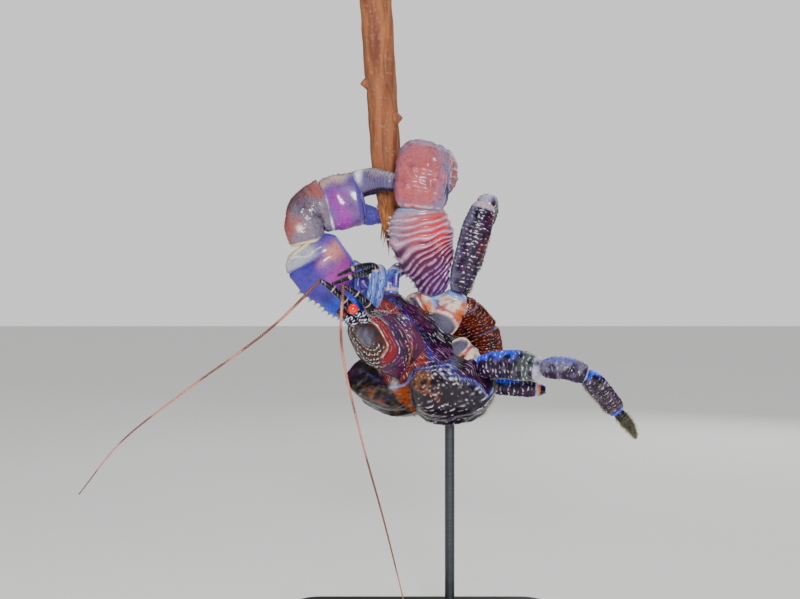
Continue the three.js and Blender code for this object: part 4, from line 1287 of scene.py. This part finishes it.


# The two eyes are one red: the left one, deep and dark, is painted shade and the right one, bright, is
# painted light.
eye_finishes = {
    "left": eye_red("shaded_red_eye", "#16040a", "#5c0a10"),
    "right": eye_red("lit_red_eye", "#a80c06", "#ee1a08"),
}
polar = np.linspace(0, np.pi, 49)[:, None]
angle = np.arange(72) / 72 * 2 * np.pi
dome = np.broadcast_arrays(np.sin(polar) * np.cos(angle), np.sin(polar) * np.sin(angle), np.cos(polar))
dome = EYE_BALL * np.stack(dome, -1)
for side_name, (root, ball) in EYES.items():
    inside_ball = np.array(root) * 0.2 + np.array(ball) * 0.8
    stalk = limb([root, inside_ball], [[0, 4.5, 4.5], [1, 3.6, 3.6]], square=2, around=60, along=60)
    # The pale patches on the dark eye stalks are painted glints.
    masks = {"blue": 0, "joint": 0, "seam": 0, "rim": soft(drift(stalk.grid, 3, 95), 0, 0.6)}
    height = 0.2 * drift(stalk.grid, 3, 96)
    cover(side_name + "_eye_stalk", stalk.grid, height, masks, stem_finish, "feeler_stem")
    mesh = closed_mesh(side_name + "_eye_ball", dome + np.array(ball), {})
    place(side_name + "_eye_ball", mesh, eye_finishes[side_name], [side_name + "_eye"])

# The mouth feet: two jointed, bristly limbs, pale blue and violet, folded up over the face.
MOUTH_FEET = {
    "left": [[-42, -20, 303], [-53, -32, 322], [-53.6, -31, 334.6], [-62, -19, 345.6]],
    "right": [
        [-28, -26, 302], [-28, -31, 320.4], [-26.2, -27, 333.8],
        [-18.2, -17, 340.3], [-10, -9, 344.1],
    ],
}
FOOT_STRIPES = 6
MOUTH_FOOT_ROWS = [[0, 8, 8], [0.35, 7, 6.5], [0.7, 6.5, 6], [1, 3.5, 3.5]]
foot_layers = {"violet": "#4a2c98", "joint": "#d8c4c0", "seam": "#14143c", "rim": "#eef2fc"}
foot_finish = shell("mouth_foot_finish", "#4a6ac4", foot_layers, mottle=0.15)
for side_name, path in MOUTH_FEET.items():
    part = limb(path, MOUTH_FOOT_ROWS, square=2, around=90, along=120)
    share = part.share
    joints = hump(share, 0.33, 0.025) + hump(share, 0.62, 0.025) + hump(share, 0.84, 0.02)
    rim, rise = scales(
        part.along, part.around, spacing=3, dash=3, seed=101, sharp=0.2, unrest=0.35, keep=0.8
    )
    waves = cosine(part.turn * FOOT_STRIPES + 0.5 * drift(part.grid, 14, 103))
    # The white streaks along the tubes are painted highlights.
    streaks = soft(waves, 0.6, 1) * soft(drift(part.grid, 12, 104), -0.3, 0.6)
    seams = soft(-waves, 0.5, 1) * soft(drift(part.grid, 14, 105), -0.5, 0.4)
    masks = {
        "violet": soft(drift(part.grid, 14, 102), -0.5, 0.3),
        "joint": joints * 0.6,
        "seam": seams * 0.8,
        "rim": unit(rim * 0.3 + streaks * 0.65),
    }
    height = 0.3 * rise - 0.8 * joints - 0.5 * seams
    cover(side_name + "_mouth_foot", part.grid, height, masks, foot_finish, "mouth_part")

# The studio: a plain pale floor, one small light in front as the photograph's own light falls, broad
# ones from the left and from behind, a wide sun overhead, and the camera a metre in front.
FLOOR_HALF = 12.0
corners = [(FLOOR_HALF * x, FLOOR_HALF * y, 0) for x, y in ((-1, -1), (1, -1), (1, 1), (-1, 1))]
floor_mesh = bpy.data.meshes.new("studio_floor")
floor_mesh.from_pydata(corners, [], [(0, 1, 2, 3)])
floor_paint = Paint("pale_studio_floor")
floor_cloud = floor_paint.noise(3, 2)
floor_colour = floor_paint.blend(floor_cloud, "#eeedea", "#f2f1ef")
floor_mesh.materials.append(floor_paint.finish(floor_colour, 0.8 + floor_cloud * 0.05, floor_cloud, 0.0001))
put("studio_floor", floor_mesh)

LIGHTS = {
    "front_light": {"at": (0.14, -1.45, 0.62), "size": 0.3, "watts": 21},
    "left_light": {"at": (-1.5, -0.6, 0.9), "size": 1.0, "watts": 5},
    "back_light": {"at": (0.9, 1.6, 1.0), "size": 1.2, "watts": 9},
}
LIGHTS_AIM = (0, 0, 0.3)
SUN = {"strength": 2.1, "width": 60, "turned": (-14, 6, 0)}
for name, spec in LIGHTS.items():
    lamp = bpy.data.lights.new(name, "AREA")
    lamp.energy = spec["watts"]
    lamp.shape = "DISK"
    lamp.size = spec["size"]
    light = put(name, lamp)
    light.location = spec["at"]
    toward = Vector(LIGHTS_AIM) - Vector(spec["at"])
    light.rotation_euler = toward.to_track_quat("-Z", "Y").to_euler()
sun = bpy.data.lights.new("overhead_light", "SUN")
sun.energy = SUN["strength"]
sun.angle = math.radians(SUN["width"])
put("overhead_light", sun).rotation_euler = [math.radians(degrees) for degrees in SUN["turned"]]

air = Paint("studio_air", bpy.data.worlds)
around_it = air.add("ShaderNodeBackground", None, {"Color": "#c8ccd4", "Strength": 0.1})
seen = air.add("ShaderNodeBackground", None, {"Color": "#fbfbfb", "Strength": 1.0})
to_camera = air.add("ShaderNodeLightPath", out="Is Camera Ray")
either = air.add("ShaderNodeMixShader", None, {0: to_camera, 1: around_it, 2: seen})
air.add("ShaderNodeOutputWorld", None, {"Surface": either})
bpy.context.scene.world = air.block

CAMERA = {"at": (-0.020, -1.015, 0.312), "lens": 50, "sensor": 36}
camera_data = bpy.data.cameras.new("camera")
camera_data.lens = CAMERA["lens"]
camera_data.sensor_width = CAMERA["sensor"]
camera = put("camera", camera_data)
camera.location = CAMERA["at"]
camera.rotation_euler = (math.radians(90), 0, 0)
bpy.context.scene.camera = camera
